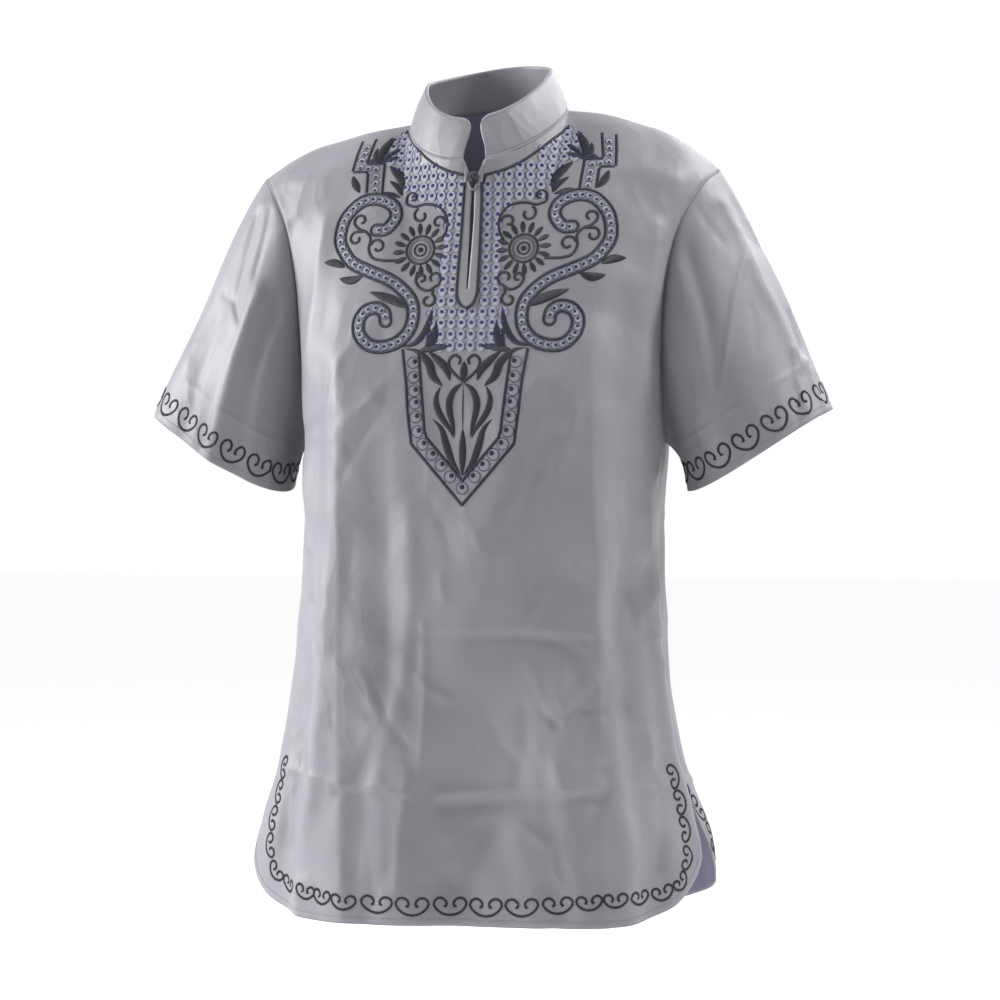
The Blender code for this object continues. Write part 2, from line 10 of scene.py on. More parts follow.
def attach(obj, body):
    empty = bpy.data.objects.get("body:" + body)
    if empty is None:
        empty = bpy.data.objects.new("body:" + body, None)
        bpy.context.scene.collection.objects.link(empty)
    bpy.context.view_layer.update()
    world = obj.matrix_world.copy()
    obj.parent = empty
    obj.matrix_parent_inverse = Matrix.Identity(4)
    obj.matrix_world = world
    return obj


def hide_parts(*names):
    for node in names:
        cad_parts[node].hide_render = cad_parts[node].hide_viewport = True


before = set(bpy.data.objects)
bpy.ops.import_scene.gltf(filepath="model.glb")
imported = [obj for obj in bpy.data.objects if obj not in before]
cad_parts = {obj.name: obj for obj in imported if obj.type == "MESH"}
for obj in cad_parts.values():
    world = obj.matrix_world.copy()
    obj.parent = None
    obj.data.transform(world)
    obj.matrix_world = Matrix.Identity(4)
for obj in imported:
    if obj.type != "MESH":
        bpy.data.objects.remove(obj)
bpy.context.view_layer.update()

# The cut, in metres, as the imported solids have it. Front is -Y, Z = 0 is the shoulder's high point
cut = {
    "neckHalf": 0.079, "neckY": -0.004, "neckFrontDepth": 0.081, "neckBackDepth": 0.064,
    "neckFrontDrop": 0.050, "neckBackRise": 0.016, "neckFlatness": 1.2, "neckShare": 0.4,
    "shoulderY": -0.004, "shoulderLean": 0.085, "leanReach": 0.16, "shoulderRound": 0.62,
    "shoulderSpan": (0.10, 0.90), "neckFullness": {"front": 1.50, "back": 0.95},
    "shoulderFullness": 0.95, "fullnessSpan": (0.0, 0.42), "softening": 0.26, "softeningPace": 0.8,
    "armpitZ": -0.325, "sideY": -0.018, "ventZ": -0.642, "ventSpread": math.radians(15),
    "hemZ": {"front": -0.7875, "back": -0.792}, "cornerZ": -0.7300, "cornerShare": 0.55,
    "cornerRound": 2.2, "armholeBlend": 8, "foldEase": 0.45, "slitFootZ": -0.180, "wall": 0.0011,
}

torsoRings = (
    ("z", "half", "front", "back", "square", "middle", "backMiddle"),
    (-0.325, 0.1765, -0.148, 0.113, 2.80, 0.000, 0.000),
    (-0.400, 0.1745, -0.150, 0.112, 2.75, -0.002, -0.002),
    (-0.480, 0.1765, -0.147, 0.110, 2.65, -0.004, -0.004),
    (-0.560, 0.1840, -0.144, 0.111, 2.55, -0.005, -0.005),
    (-0.642, 0.2000, -0.142, 0.116, 2.45, -0.006, -0.006),
    (-0.720, 0.2215, -0.143, 0.121, 2.35, -0.007, 0.002),
    (-0.800, 0.2260, -0.145, 0.124, 2.30, -0.007, 0.005),
)

shoulderLine = (
    ("x", "z"),
    (0.079, 0.000), (0.120, -0.006), (0.150, -0.0145), (0.183, -0.0255), (0.204, -0.0375), (0.230, -0.057),
)

armholeSeam = (
    ("share", "frontX", "frontY", "backX", "backY", "z"),
    (0.00, 0.2300, -0.0040, 0.2300, -0.0040, -0.0570),
    (0.14, 0.2170, -0.0290, 0.2220, 0.0240, -0.0720),
    (0.30, 0.1980, -0.0500, 0.2080, 0.0480, -0.1080),
    (0.50, 0.1840, -0.0600, 0.1930, 0.0590, -0.1680),
    (0.70, 0.1790, -0.0590, 0.1840, 0.0560, -0.2350),
    (0.87, 0.1775, -0.0430, 0.1790, 0.0330, -0.2930),
    (1.00, 0.1770, -0.0180, 0.1770, -0.0180, -0.3250),
)

longFolds = (
    ("angle", "turn", "top", "foot", "spread", "height"),
    (-40.0, -2.0, -0.280, -0.800, 5.0, 0.0045),
    (-56.0, 4.0, -0.330, -0.720, 8.0, -0.0060),
    (-74.0, -6.0, -0.380, -0.790, 7.0, 0.0040),
    (-16.0, 6.0, -0.520, -0.800, 9.0, 0.0045),
    (4.0, -6.0, -0.480, -0.780, 10.0, -0.0050),
    (21.0, 6.0, -0.440, -0.800, 8.0, 0.0045),
    (40.0, 2.0, -0.280, -0.800, 5.0, 0.0040),
    (57.0, -5.0, -0.330, -0.700, 7.0, -0.0060),
    (78.0, 4.0, -0.380, -0.800, 6.0, 0.0055),
    (93.0, 2.0, -0.340, -0.640, 6.0, -0.0060),
    (110.0, 3.0, -0.200, -0.800, 8.0, 0.0070),
    (131.0, -4.0, -0.260, -0.760, 9.0, -0.0070),
    (150.0, 5.0, -0.320, -0.800, 8.0, 0.0060),
    (169.0, -3.0, -0.400, -0.800, 9.0, -0.0055),
    (-172.0, 4.0, -0.360, -0.800, 7.0, 0.0050),
    (-152.0, -3.0, -0.300, -0.780, 9.0, -0.0065),
    (-131.0, 5.0, -0.220, -0.800, 8.0, 0.0070),
    (-108.0, -3.0, -0.340, -0.760, 8.0, -0.0060),
)

slitEdge = (
    ("z", "gap"),
    (-0.050, 0.0110), (-0.060, 0.0064), (-0.075, 0.0026), (-0.110, 0.0018), (-0.150, 0.0011),
    (-0.180, 0.0006),
)


def column(table, name):
    place = table[0].index(name)
    return np.array([row[place] for row in table[1:]], float)


def smoothRead(table, key, name, at):
    keys = column(table, key)
    values = column(table, name)
    if keys[0] > keys[-1]:
        keys = keys[::-1]
        values = values[::-1]
    slopes = np.gradient(values, keys)
    at = np.clip(at, keys[0], keys[-1])
    row = np.clip(np.searchsorted(keys, at) - 1, 0, len(keys) - 2)
    step = keys[row + 1] - keys[row]
    part = (at - keys[row]) / step
    rest = 1 - part
    start = values[row] * (1 + 2 * part) + slopes[row] * step * part
    end = values[row + 1] * (3 - 2 * part) - slopes[row + 1] * step * rest
    return start * rest**2 + end * part**2


def ease(value, low, high):
    share = np.clip((value - low) / (high - low), 0, 1)
    return share * share * (3 - 2 * share)


def foldRelief(angle, z):
    out = np.zeros(np.broadcast(angle, z).shape)
    for row in longFolds[1:]:
        fold = dict(zip(longFolds[0], row))
        down = np.clip((fold["top"] - z) / (fold["top"] - fold["foot"]), 0, 1)
        off = (angle - fold["angle"] - fold["turn"] * down + 180) % 360 - 180
        height = fold["height"] * ease(down, 0.0, cut["foldEase"])
        out = out + height * np.exp(-((off / fold["spread"]) ** 2))
    return out


def torsoPoint(side, across, z):
    sign = np.sign(across)
    square = smoothRead(torsoRings, "z", "square", z)
    opened = cut["ventSpread"] * ease(cut["ventZ"] - z, 0.0, cut["ventZ"] - cut["hemZ"]["front"])
    angle = np.abs(across) ** (square / 2) * (math.pi / 2 - opened)
    isBack = side == "back"
    ringBack = smoothRead(torsoRings, "z", "back", z) - cut["sideY"]
    ringFront = cut["sideY"] - smoothRead(torsoRings, "z", "front", z)
    depth = ringBack if isBack else ringFront
    facing = 1 if isBack else -1
    turn = np.degrees(angle)
    stand = foldRelief(sign * (180 - turn if isBack else turn), z)
    middle = smoothRead(torsoRings, "z", "backMiddle" if isBack else "middle", np.minimum(z, cut["ventZ"]))
    middle = np.where(z < cut["ventZ"], middle, smoothRead(torsoRings, "z", "middle", z))
    x = middle + sign * smoothRead(torsoRings, "z", "half", z) * np.sin(angle) ** (2 / square)
    y = cut["sideY"] + facing * depth * np.maximum(np.cos(angle), 0) ** (2 / square)
    return np.stack([x + sign * stand * np.sin(angle), y + facing * stand * np.cos(angle), z + 0 * x], -1)


def neckSeam(side, turn):
    isBack = side == "back"
    depth = cut["neckBackDepth"] if isBack else -cut["neckFrontDepth"]
    height = cut["neckBackRise"] if isBack else -cut["neckFrontDrop"]
    level = np.maximum(np.cos(turn), 0)
    x = cut["neckHalf"] * np.sin(turn)
    return np.stack([x, cut["neckY"] + depth * level, height * level ** cut["neckFlatness"]], -1)


def leanOf(x):
    return cut["shoulderLean"] * x * np.exp(-((x / cut["leanReach"]) ** 2))


def topSeam(side, across):
    size = np.abs(across)
    neck = neckSeam(side, np.minimum(size / cut["neckShare"], 1) * math.pi / 2)
    out = np.clip((size - cut["neckShare"]) / (1 - cut["neckShare"]), 0, 1)
    x = cut["neckHalf"] + (column(shoulderLine, "x")[-1] - cut["neckHalf"]) * out
    y = cut["neckY"] + (cut["shoulderY"] - cut["neckY"]) * out
    seam = np.stack([x, y, smoothRead(shoulderLine, "x", "z", x)], -1)
    point = np.where((size <= cut["neckShare"])[..., None], neck, seam)
    point[..., 0] = point[..., 0] * np.where(across < 0, -1, 1)
    point[..., 2] = point[..., 2] + leanOf(point[..., 0])
    return point


def armhole(side, share, sign=1):
    x = sign * smoothRead(armholeSeam, "share", side + "X", share)
    y = smoothRead(armholeSeam, "share", side + "Y", share)
    return np.stack([x, y, smoothRead(armholeSeam, "share", "z", share)], -1)


def plainFall(side, across, down):
    spread = cut["softening"] * down ** cut["softeningPace"]
    beside = [topSeam(side, np.clip(across + step * spread, -1, 1)) for step in (-1, -0.5, 0, 0.5, 1)]
    top = sum(beside) / len(beside)
    foot = torsoPoint(side, across, np.full(np.shape(across), cut["armpitZ"]))
    shoulder = ease(np.abs(across), *cut["shoulderSpan"])
    fall = down ** (1 + cut["shoulderRound"] * shoulder)
    aside = ease(np.abs(across), *cut["fullnessSpan"])
    fullness = cut["neckFullness"][side] + (cut["shoulderFullness"] - cut["neckFullness"][side]) * aside
    out = np.sin(down * math.pi / 2) ** fullness
    x = top[..., 0] + (foot[..., 0] - top[..., 0]) * down * down * (3 - 2 * down)
    y = top[..., 1] + (foot[..., 1] - top[..., 1]) * out
    z = top[..., 2] + (foot[..., 2] - top[..., 2]) * fall
    return np.stack([x, y, z], -1)


def upperPoint(side, across, down):
    across = across + 0 * down
    down = down + 0 * across
    sign = np.where(across < 0, -1.0, 1.0)
    edge = plainFall(side, sign, down)
    pull = np.abs(across) ** cut["armholeBlend"]
    return plainFall(side, across, down) + pull[..., None] * (armhole(side, down, sign) - edge)


def lowerPoint(side, across, down):
    across = across + 0 * down
    begin = cut["cornerShare"] - 0.10
    past = np.clip((np.abs(across) - begin) / (1 - begin), 0, 1)
    hem = cut["hemZ"][side]
    edge = hem + (cut["cornerZ"] - hem) * (1 - np.sqrt(1 - past ** cut["cornerRound"]))
    return torsoPoint(side, across, cut["armpitZ"] + (edge - cut["armpitZ"]) * down)


def gridNormals(grid, outward):
    along = np.gradient(grid, axis=1)
    down = np.gradient(grid, axis=0)
    normal = np.cross(along, down)
    length = np.linalg.norm(normal, axis=-1)[..., None]
    normal = normal / np.maximum(length, 1e-12)
    middle = normal[grid.shape[0] // 2, grid.shape[1] // 2]
    return normal if float(middle @ np.array(outward)) > 0 else -normal


def lineDistance(u, v, line):
    best = np.full(u.shape, 1e9)
    for (u0, v0), (u1, v1) in zip(line[:-1], line[1:]):
        du, dv = u1 - u0, v1 - v0
        share = np.clip(((u - u0) * du + (v - v0) * dv) / (du * du + dv * dv), 0, 1)
        best = np.minimum(best, np.hypot(u - u0 - du * share, v - v0 - dv * share))
    return best


def creaseField(u, v, creases):
    # Each crease: its line in metres, how high it stands, half its width, and its crest: from 0 for a soft
    # roll to 1 for a sharp one, or 2 for a pressed edge with two flat sides
    out = np.zeros(u.shape)
    for line, height, width, crest in creases:
        far = lineDistance(u, v, line) / width
        if crest > 1:
            out += height * (np.sqrt(np.maximum(1.02 - far, 0) ** 2 + 0.0016) - 0.04)
        else:
            out += height * (np.exp(-(far**2)) * (1 - crest) + np.exp(-1.6 * far) * crest)
    return out


# Short soft creases strewn over the cloth, and its broad uneven swell, in metres and radians
crumples = {"lengths": (0.02, 0.07), "widths": (0.004, 0.011), "turn": 0.55, "bend": 0.25, "least": 0.4,
            "crest": 0.7}
swells = {"waves": 9, "reaches": (0.7, 1.8)}


def crumpleField(u, v, seed, count, box, height, lean=0.0):
    draw = random.Random(seed)
    creases = []
    for _ in range(count):
        cu = draw.uniform(box[0], box[1])
        cv = draw.uniform(box[2], box[3])
        turn = lean + draw.gauss(0, crumples["turn"])
        half = draw.uniform(*crumples["lengths"]) / 2
        du, dv = math.sin(turn) * half, math.cos(turn) * half
        bend = draw.uniform(-crumples["bend"], crumples["bend"])
        line = [(cu - du, cv - dv), (cu + dv * bend, cv - du * bend), (cu + du, cv + dv)]
        stands = draw.choice((-1, 1)) * height * draw.uniform(crumples["least"], 1)
        creases.append((line, stands, draw.uniform(*crumples["widths"]), crumples["crest"]))
    return creaseField(u, v, creases)


def swellField(u, v, seed, height, reach):
    draw = random.Random(seed)
    out = np.zeros(u.shape)
    for _ in range(swells["waves"]):
        turn = draw.uniform(0, math.pi)
        wave = reach * draw.uniform(*swells["reaches"])
        phase = draw.uniform(0, 2 * math.pi)
        out += np.sin((u * math.cos(turn) + v * math.sin(turn)) * 2 * math.pi / wave + phase)
    return out * height / math.sqrt(swells["waves"])


def runOf(line):
    # How far along a line each of its points lies
    return np.concatenate([[0], np.cumsum(np.linalg.norm(np.diff(line, axis=0), axis=1))])


def metresOf(grid, middle):
    # How far each point lies across from the middle column and down from the top row, along the cloth
    across = np.zeros(grid.shape[:2])
    steps = np.linalg.norm(np.diff(grid, axis=1), axis=-1)
    across[:, 1:] = np.cumsum(steps, axis=1)
    across -= across[:, middle][:, None]
    down = np.zeros(grid.shape[:2])
    down[1:] = np.cumsum(np.linalg.norm(np.diff(grid, axis=0), axis=-1), axis=0)
    return across, down


def quadsOf(index, closed=False):
    beside = np.roll(index, -1, axis=1)
    quads = np.stack([index[:-1], index[1:], beside[1:], beside[:-1]], -1)
    if not closed:
        quads = quads[:, :-1]
    return [tuple(face) for face in quads.reshape(-1, 4).tolist()]


def addObject(name, data):
    made = bpy.data.objects.new(name, data)
    bpy.context.scene.collection.objects.link(made)
    return made


def meshObject(name, points, faces, uv=None, finish=None, smooth=True):
    mesh = bpy.data.meshes.new(name)
    mesh.from_pydata([tuple(p) for p in points], [], faces)
    if uv is not None:
        layer = mesh.uv_layers.new(name="clothUv")
        corner = np.empty(len(mesh.loops), int)
        mesh.loops.foreach_get("vertex_index", corner)
        layer.data.foreach_set("uv", np.asarray(uv, np.float32)[corner].ravel())
    mesh.update()
    if smooth:
        mesh.shade_smooth()
    if finish:
        mesh.materials.append(finish)
    return addObject(name, mesh)


def giveWall(made, thickness, inner=None):
    wall = made.modifiers.new("wall", "SOLIDIFY")
    # The inner face gets the inside finish where one is given: a darker, bluer copy of the cloth, painted
    # shade
    if inner:
        made.data.materials.append(inner)
        wall.material_offset = 1
    wall.thickness = thickness
    wall.offset = -1
    wall.use_rim = True
    return made


def treeOf(points, faces):
    return BVHTree.FromPolygons([Vector(p) for p in points], faces)


# Finishes

tones = {
    # inside: the cloth's inner faces, darker and bluer than its outside, painted shade for the shadowed
    # vents and openings
    "cloth": (0.136, 0.133, 0.149), "clothDeep": (0.114, 0.111, 0.126), "inside": (0.112, 0.108, 0.158),
    # The charcoal thread's second, lighter tone is a painted highlight on its satin rib crests
    "charcoal": (0.006, 0.007, 0.011), "charcoalRibHighlight": (0.020, 0.022, 0.030),
    "paleThread": (0.186, 0.190, 0.232), "tabThread": (0.148, 0.147, 0.170),
    "scaleLine": (0.026, 0.027, 0.058), "seamThread": (0.155, 0.152, 0.172),
    # The dots' second, greyer tone is a painted highlight on their rib crests
    "dotBlue": (0.010, 0.009, 0.070), "dotRibHighlight": (0.018, 0.018, 0.080),
    "floor": (0.96, 0.96, 0.96),
}


weave = {
    "pitch": 0.00055, "distortion": 0.6, "strength": 0.35, "depth": 0.00012, "specular": 0.30, "sheen": 0.04,
    "slubScale": 140, "slubStretch": (1.0, 0.12, 1.0), "cloudScale": 7, "cloudRough": 0.6,
    "deepAt": 0.32, "lightAt": 0.62, "smoother": 0.06, "rougher": 0.08,
}

facets = {
    "squash": (1.0, 1.0, 0.62), "driftScale": 14, "drift": (0.05, 0.05, 0.05),
    "sizes": ((19, 1.0), (44, 0.36)), "patchScale": 5.5, "patchFrom": 0.46, "patchTo": 0.64, "least": 0.12,
    "strength": 0.8, "depth": 0.0062,
}

# darkAt and lightAt: where the rib height turns the thread's own tone into the lighter tone of the rib
# crests, a painted highlight
satin = {
    "pitch": 0.00075, "roughness": 0.50, "specular": 0.14, "fuzzScale": 900, "ribShare": 0.5,
    "strength": 0.6, "depth": 0.0003, "darkAt": 0.15, "lightAt": 0.95,
}


def feed(tree, made, inputs):
    # Gives a node's inputs their values, or links them to the outputs that feed them
    for label, value in inputs.items():
        if isinstance(value, bpy.types.NodeSocket):
            tree.links.new(value, made.inputs[label])
        else:
            made.inputs[label].default_value = value
    return made


def addNode(tree, kind, inputs):
    return feed(tree, tree.nodes.new(kind), inputs)


def mathNode(tree, operation, *values):
    made = tree.nodes.new("ShaderNodeMath")
    made.operation = operation
    return feed(tree, made, dict(enumerate(values))).outputs[0]


def noiseNode(tree, place, scale, detail, roughness=0.5):
    return addNode(tree, "ShaderNodeTexNoise", {
        "Vector": place, "Scale": scale, "Detail": detail, "Roughness": roughness})


def bumpNode(tree, height, look, under=None):
    inputs = {"Height": height, "Strength": look["strength"], "Distance": look["depth"]}
    if under:
        inputs["Normal"] = under
    return addNode(tree, "ShaderNodeBump", inputs).outputs["Normal"]


def rampNode(tree, value, low, high):
    # Each end: where it stands, and its tone
    made = addNode(tree, "ShaderNodeValToRGB", {"Fac": value})
    for element, (place, tone) in zip(made.color_ramp.elements, (low, high)):
        element.position = place
        element.color = (*tone, 1)
    return made.outputs["Color"]


def newFinish(name, color, roughness, specular, sheen=0.0):
    made = bpy.data.materials.new(name)
    made.use_nodes = True
    made.diffuse_color = (*color, 1)
    tree = made.node_tree
    shader = feed(tree, tree.nodes["Principled BSDF"], {
        "Base Color": (*color, 1), "Roughness": roughness, "Specular IOR Level": specular,
        "Sheen Weight": sheen})
    return made, tree, shader


def facetBump(tree, place):
    # Flat facets between fine fold lines, as pressed cotton crumples, stronger in some places than in others
    squash = addNode(tree, "ShaderNodeMapping", {"Vector": place, "Scale": facets["squash"]})
    squash = squash.outputs["Vector"]
    shift = tree.nodes.new("ShaderNodeVectorMath")
    shift.operation = "MULTIPLY_ADD"
    drift = noiseNode(tree, squash, facets["driftScale"], 2).outputs["Color"]
    feed(tree, shift, {0: drift, 1: facets["drift"], 2: squash})
    heights = []
    for scale, share in facets["sizes"]:
        facet = addNode(tree, "ShaderNodeTexVoronoi", {"Vector": shift.outputs["Vector"], "Scale": scale})
        heights.append(mathNode(tree, "MULTIPLY", facet.outputs["Distance"], share))
    fade = addNode(tree, "ShaderNodeMapRange", {
        "Value": noiseNode(tree, place, facets["patchScale"], 1).outputs["Fac"],
        "From Min": facets["patchFrom"], "From Max": facets["patchTo"], "To Min": facets["least"]})
    felt = mathNode(tree, "MULTIPLY", mathNode(tree, "ADD", *heights), fade.outputs["Result"])
    return bumpNode(tree, felt, facets)


def wovenFinish(name, light, deep, roughness):
    made, tree, shader = newFinish(name, light, roughness, weave["specular"], weave["sheen"])
    place = tree.nodes.new("ShaderNodeUVMap")
    place.uv_map = "clothUv"
    flat = place.outputs["UV"]
    yarns = []
    for direction in ("X", "Y"):
        yarn = addNode(tree, "ShaderNodeTexWave", {
            "Vector": flat, "Scale": 1 / weave["pitch"] / 20 * math.pi, "Distortion": weave["distortion"],
            "Detail": 1.0})
        yarn.bands_direction = direction
        yarns.append(yarn.outputs["Fac"])
    stretch = addNode(tree, "ShaderNodeMapping", {"Vector": flat, "Scale": weave["slubStretch"]})
    slub = noiseNode(tree, stretch.outputs["Vector"], weave["slubScale"], 3).outputs["Fac"]
    lift = mathNode(tree, "ADD", mathNode(tree, "MULTIPLY", *yarns), slub)
    spot = tree.nodes.new("ShaderNodeTexCoord").outputs["Object"]
    cloud = noiseNode(tree, spot, weave["cloudScale"], 5, weave["cloudRough"]).outputs["Fac"]
    gloss = addNode(tree, "ShaderNodeMapRange", {
        "Value": slub, "To Min": roughness - weave["smoother"], "To Max": roughness + weave["rougher"]})
    feed(tree, shader, {
        "Normal": bumpNode(tree, lift, weave, facetBump(tree, spot)),
        "Base Color": rampNode(tree, cloud, (weave["deepAt"], deep), (weave["lightAt"], light)),
        "Roughness": gloss.outputs["Result"]})
    return made


def threadFinish(name, dark, light):
    # Satin stitch: fine ribs that cross the line, read from the length along it
    made, tree, shader = newFinish(name, tones[dark], satin["roughness"], satin["specular"])
    place = tree.nodes.new("ShaderNodeAttribute")
    place.attribute_name = "along"
    turns = mathNode(tree, "MULTIPLY", place.outputs["Fac"], 2 * math.pi / satin["pitch"])
    spot = tree.nodes.new("ShaderNodeTexCoord").outputs["Object"]
    fuzz = noiseNode(tree, spot, satin["fuzzScale"], 3).outputs["Fac"]
    lift = mathNode(tree, "MULTIPLY_ADD", mathNode(tree, "SINE", turns), satin["ribShare"], fuzz)
    feed(tree, shader, {
        "Normal": bumpNode(tree, lift, satin),
        # The colour follows the rib height: lighter on the crests, a painted highlight, mixed with random
        # fuzz in the thread's own tone
        "Base Color": rampNode(tree, lift, (satin["darkAt"], tones[dark]),
                               (satin["lightAt"], tones[light]))})
    return made


clothFinish = wovenFinish("liningCotton", tones["cloth"], tones["clothDeep"], 0.50)
# Painted shade: the inner faces are a darker, bluer copy of the cloth
insideShadeFinish = wovenFinish("clothInsidePaintedShade", tones["inside"], tones["inside"], 0.6)
facingFinish = wovenFinish("pressedFacing", tones["cloth"], tones["clothDeep"], 0.48)
charcoalThread = threadFinish("charcoalThread", "charcoal", "charcoalRibHighlight")
paleThread = threadFinish("paleThread", "paleThread", "paleThread")
tabThread = threadFinish("tabThread", "tabThread", "tabThread")
scaleThread = threadFinish("scaleThread", "scaleLine", "scaleLine")
seamThread = threadFinish("seamThread", "seamThread", "seamThread")
blueThread = threadFinish("blueThread", "dotBlue", "dotRibHighlight")
print("finishes ready")


# Body panels

panel = {
    "halfColumns": 84, "upperRows": 74, "lowerRows": 126, "upperPace": 1.05, "edgeColumns": (0.9945, 0.9985),
    "seamSink": 0.0004, "seamReach": 0.0024, "hold": 0.030, "slitReach": 0.040,
    "swell": 0.0017, "swellReach": 0.15, "rippleShare": 0.30, "rippleReach": 0.055, "crumple": 0.0019,
    "lowCount": 74, "lowBox": (-0.28, 0.28, -0.78, -0.30), "calmShare": 0.7, "calmFrom": (0.112, 0.128),
    "highCount": 20, "highBox": (-0.22, 0.22, -0.30, -0.05), "highShare": 0.45, "highLean": 0.9,
    "yokeShare": 0.45, "yokeHalf": 0.10, "yokeFoot": (-0.42, -0.36),
}


def creasesOf(rows):
    # Each row: height and half width in mm, crest, and the line's points in mm
    return [([(u / 1000, v / 1000) for u, v in zip(row[3::2], row[4::2])],
             row[0] / 1000, row[1] / 1000, row[2]) for row in rows]


frontCreases = creasesOf((
    (9.4, 48, 2, -121, -250, -121, -400, -121, -600, -114, -800),
    (7, 50, 2, 121, -250, 126, -477, 129, -640, 135, -800),
    (5.5, 36, 0, 70, -290, 30, -420, -10, -520, -45, -640, -60, -790),
    (-5, 46, 0, 100, -330, 85, -450, 50, -580, 20, -690),
    (-3.4, 17, 0, -85, -330, -80, -420, -82, -500),
    (2.8, 11, 0.2, -52, -390, -50, -480, -60, -560, -88, -660),
    (-3.6, 18, 0, -95, -640, -100, -720, -94, -780),
    (-3.4, 17, 0.1, 20, -700, 0, -745, -12, -790),
    (3, 14, 0.1, 50, -700, 62, -735, 70, -780),
    (-2.6, 13, 0.1, 88, -690, 95, -740, 90, -790),
    (1.6, 5.5, 0.8, -37, -500, -37, -573, -40, -650),
    (2, 6, 0.6, -52, -640, -60, -700, -63, -750),
    (2.2, 5, 0.6, -118, -311.5, -100, -300, -78, -272),
    (-2.6, 6, 0.3, -110, -330, -92, -312, -80, -300),
    (-2, 4.5, 0.6, -167, -312, -119, -309),
    (1.1, 4.5, 0.9, -36, -505, 30, -503, 128, -508),
    (-1.2, 6, 0.2, -36, -513, 30, -511, 120, -516),
    (2.2, 4.5, 0.6, -120, -592, -96, -591),
    (2.6, 4.8, 0.8, -186, -645, -122, -655, -57, -660),
    (-2.6, 6.5, 0.2, -120, -664, -57, -669),
    (2.1, 4.6, 0.9, -24, -662, 60, -656, 124, -653, 190, -660),
    (-3, 7.5, 0.2, -20, -674, 60, -668, 120, -664),
    (-3.4, 7.5, 0.3, 132, -636, 136, -652, 129, -668),
    (2.4, 6, 0.4, 100, -576, 110, -562, 122, -552),
    (-2.6, 7, 0.3, 92, -592, 106, -580, 126, -584),
    (-2, 8, 0.2, 60, -585, 58, -620, 50, -650),
    (-2.4, 7, 0.3, 140, -575, 150, -590, 166, -596),
    (4.8, 9, 0.5, 176, -440, 172, -472, 165, -489, 174, -515),
    (-3.6, 10, 0.2, 150, -470, 158, -500, 172, -520),
    (3, 7, 0.5, 170, -600, 176, -640, 184, -655),
    (-3.4, 10, 0.2, 178, -640, 186, -690, 180, -730),
    (2.6, 9, 0.3, 150, -690, 160, -725, 152, -755),
    (4.2, 11, 0.4, 176, -120, 167, -229, 172, -314, 166, -430),
    (-4, 14, 0, 150, -190, 146, -280, 152, -380),
    (4, 12, 0.4, -150, -105, -158, -200, -163, -330, -160, -430),
    (-3, 11, 0.1, -143, -250, -146, -340, -150, -480),
    (3.4, 12, 0.1, -170, -345, -150, -400, -140, -520),
    (2.2, 7.5, 0.3, 108, -300, 96, -340, 80, -366),
    (-2.6, 12, 0.1, 76, -320, 64, -372, 40, -420),
    (2, 11, 0.2, -205, -70, -150, -55, -120, -60),
    (2, 11, 0.2, 205, -75, 160, -58, 130, -62),
    (-1.8, 11, 0.1, -190, -110, -160, -90, -132, -86),
    (-2.4, 10, 0.2, -186, -680, -180, -720, -165, -740),
))

backCreases = creasesOf((
    (7, 52, 2, -118, -200, -121, -440, -124, -600, -118, -800),
    (6.5, 50, 2, 119, -200, 122, -450, 124, -620, 128, -800),
    (4.5, 44, 2, 2, -120, 0, -420, -3, -640, -2, -800),
    (2.2, 4.8, 0.7, -170, -312, -90, -306, -10, -310),
    (-1.8, 6.5, 0.2, -160, -321, -90, -315, -20, -319),
    (2.2, 4.8, 0.7, -60, -505, 20, -503, 160, -510),
    (2.6, 4.8, 0.8, -190, -655, -40, -660, 90, -656, 195, -662),
    (-2.6, 7, 0.2, -120, -665, -40, -670, 90, -666),
    (3.8, 16, 0.1, -165, -200, -110, -280, -60, -330),
    (3.8, 16, 0.1, 168, -190, 115, -270, 70, -335),
    (-3.6, 15, 0.1, -160, -260, -100, -350, -70, -430),
    (-3.6, 16, 0.1, 160, -250, 105, -340, 65, -440),
    (-2, 13, 0.1, -100, -45, 0, -55, 100, -45),
    (2.6, 13, 0.2, -60, -120, -66, -200, -50, -280),
    (-2.6, 14, 0.1, 62, -110, 58, -190, 70, -270),
    (3, 14, 0.2, -60, -420, -20, -500, 20, -560),
    (-3.4, 17, 0.1, 40, -400, 66, -480, 60, -590),
    (-3, 15, 0.1, -70, -700, -60, -740, -66, -790),
    (3, 14, 0.1, 50, -690, 60, -740, 52, -790),
    (2.8, 9, 0.4, -160, -560, -148, -600, -160, -640),
    (2.8, 9, 0.4, 158, -420, 150, -470, 162, -500),
))


def acrossSteps():
    even = np.linspace(-1, 1, 2 * panel["halfColumns"] + 1)
    extra = [sign * value for value in panel["edgeColumns"] for sign in (-1, 1)]
    return np.sort(np.concatenate([even, extra]))


def panelGrid(side):
    across = acrossSteps()
    upper = np.linspace(0, 1, panel["upperRows"] + 1) ** panel["upperPace"]
    lower = np.linspace(0, 1, panel["lowerRows"] + 1)[1:]
    top = upperPoint(side, across[None, :], upper[:, None])
    return np.concatenate([top, lowerPoint(side, across[None, :], lower[:, None])])


def edgeDistance(grid):
    # How far each point is from the neck, shoulder, armhole and side seams, along its own row or column
    widths, downs = metresOf(grid, 0)
    aside = np.minimum(widths, widths[:, -1][:, None] - widths)
    seamed = grid[:, :, 2] > cut["ventZ"]
    return np.minimum(np.where(seamed, aside, 1.0), downs)


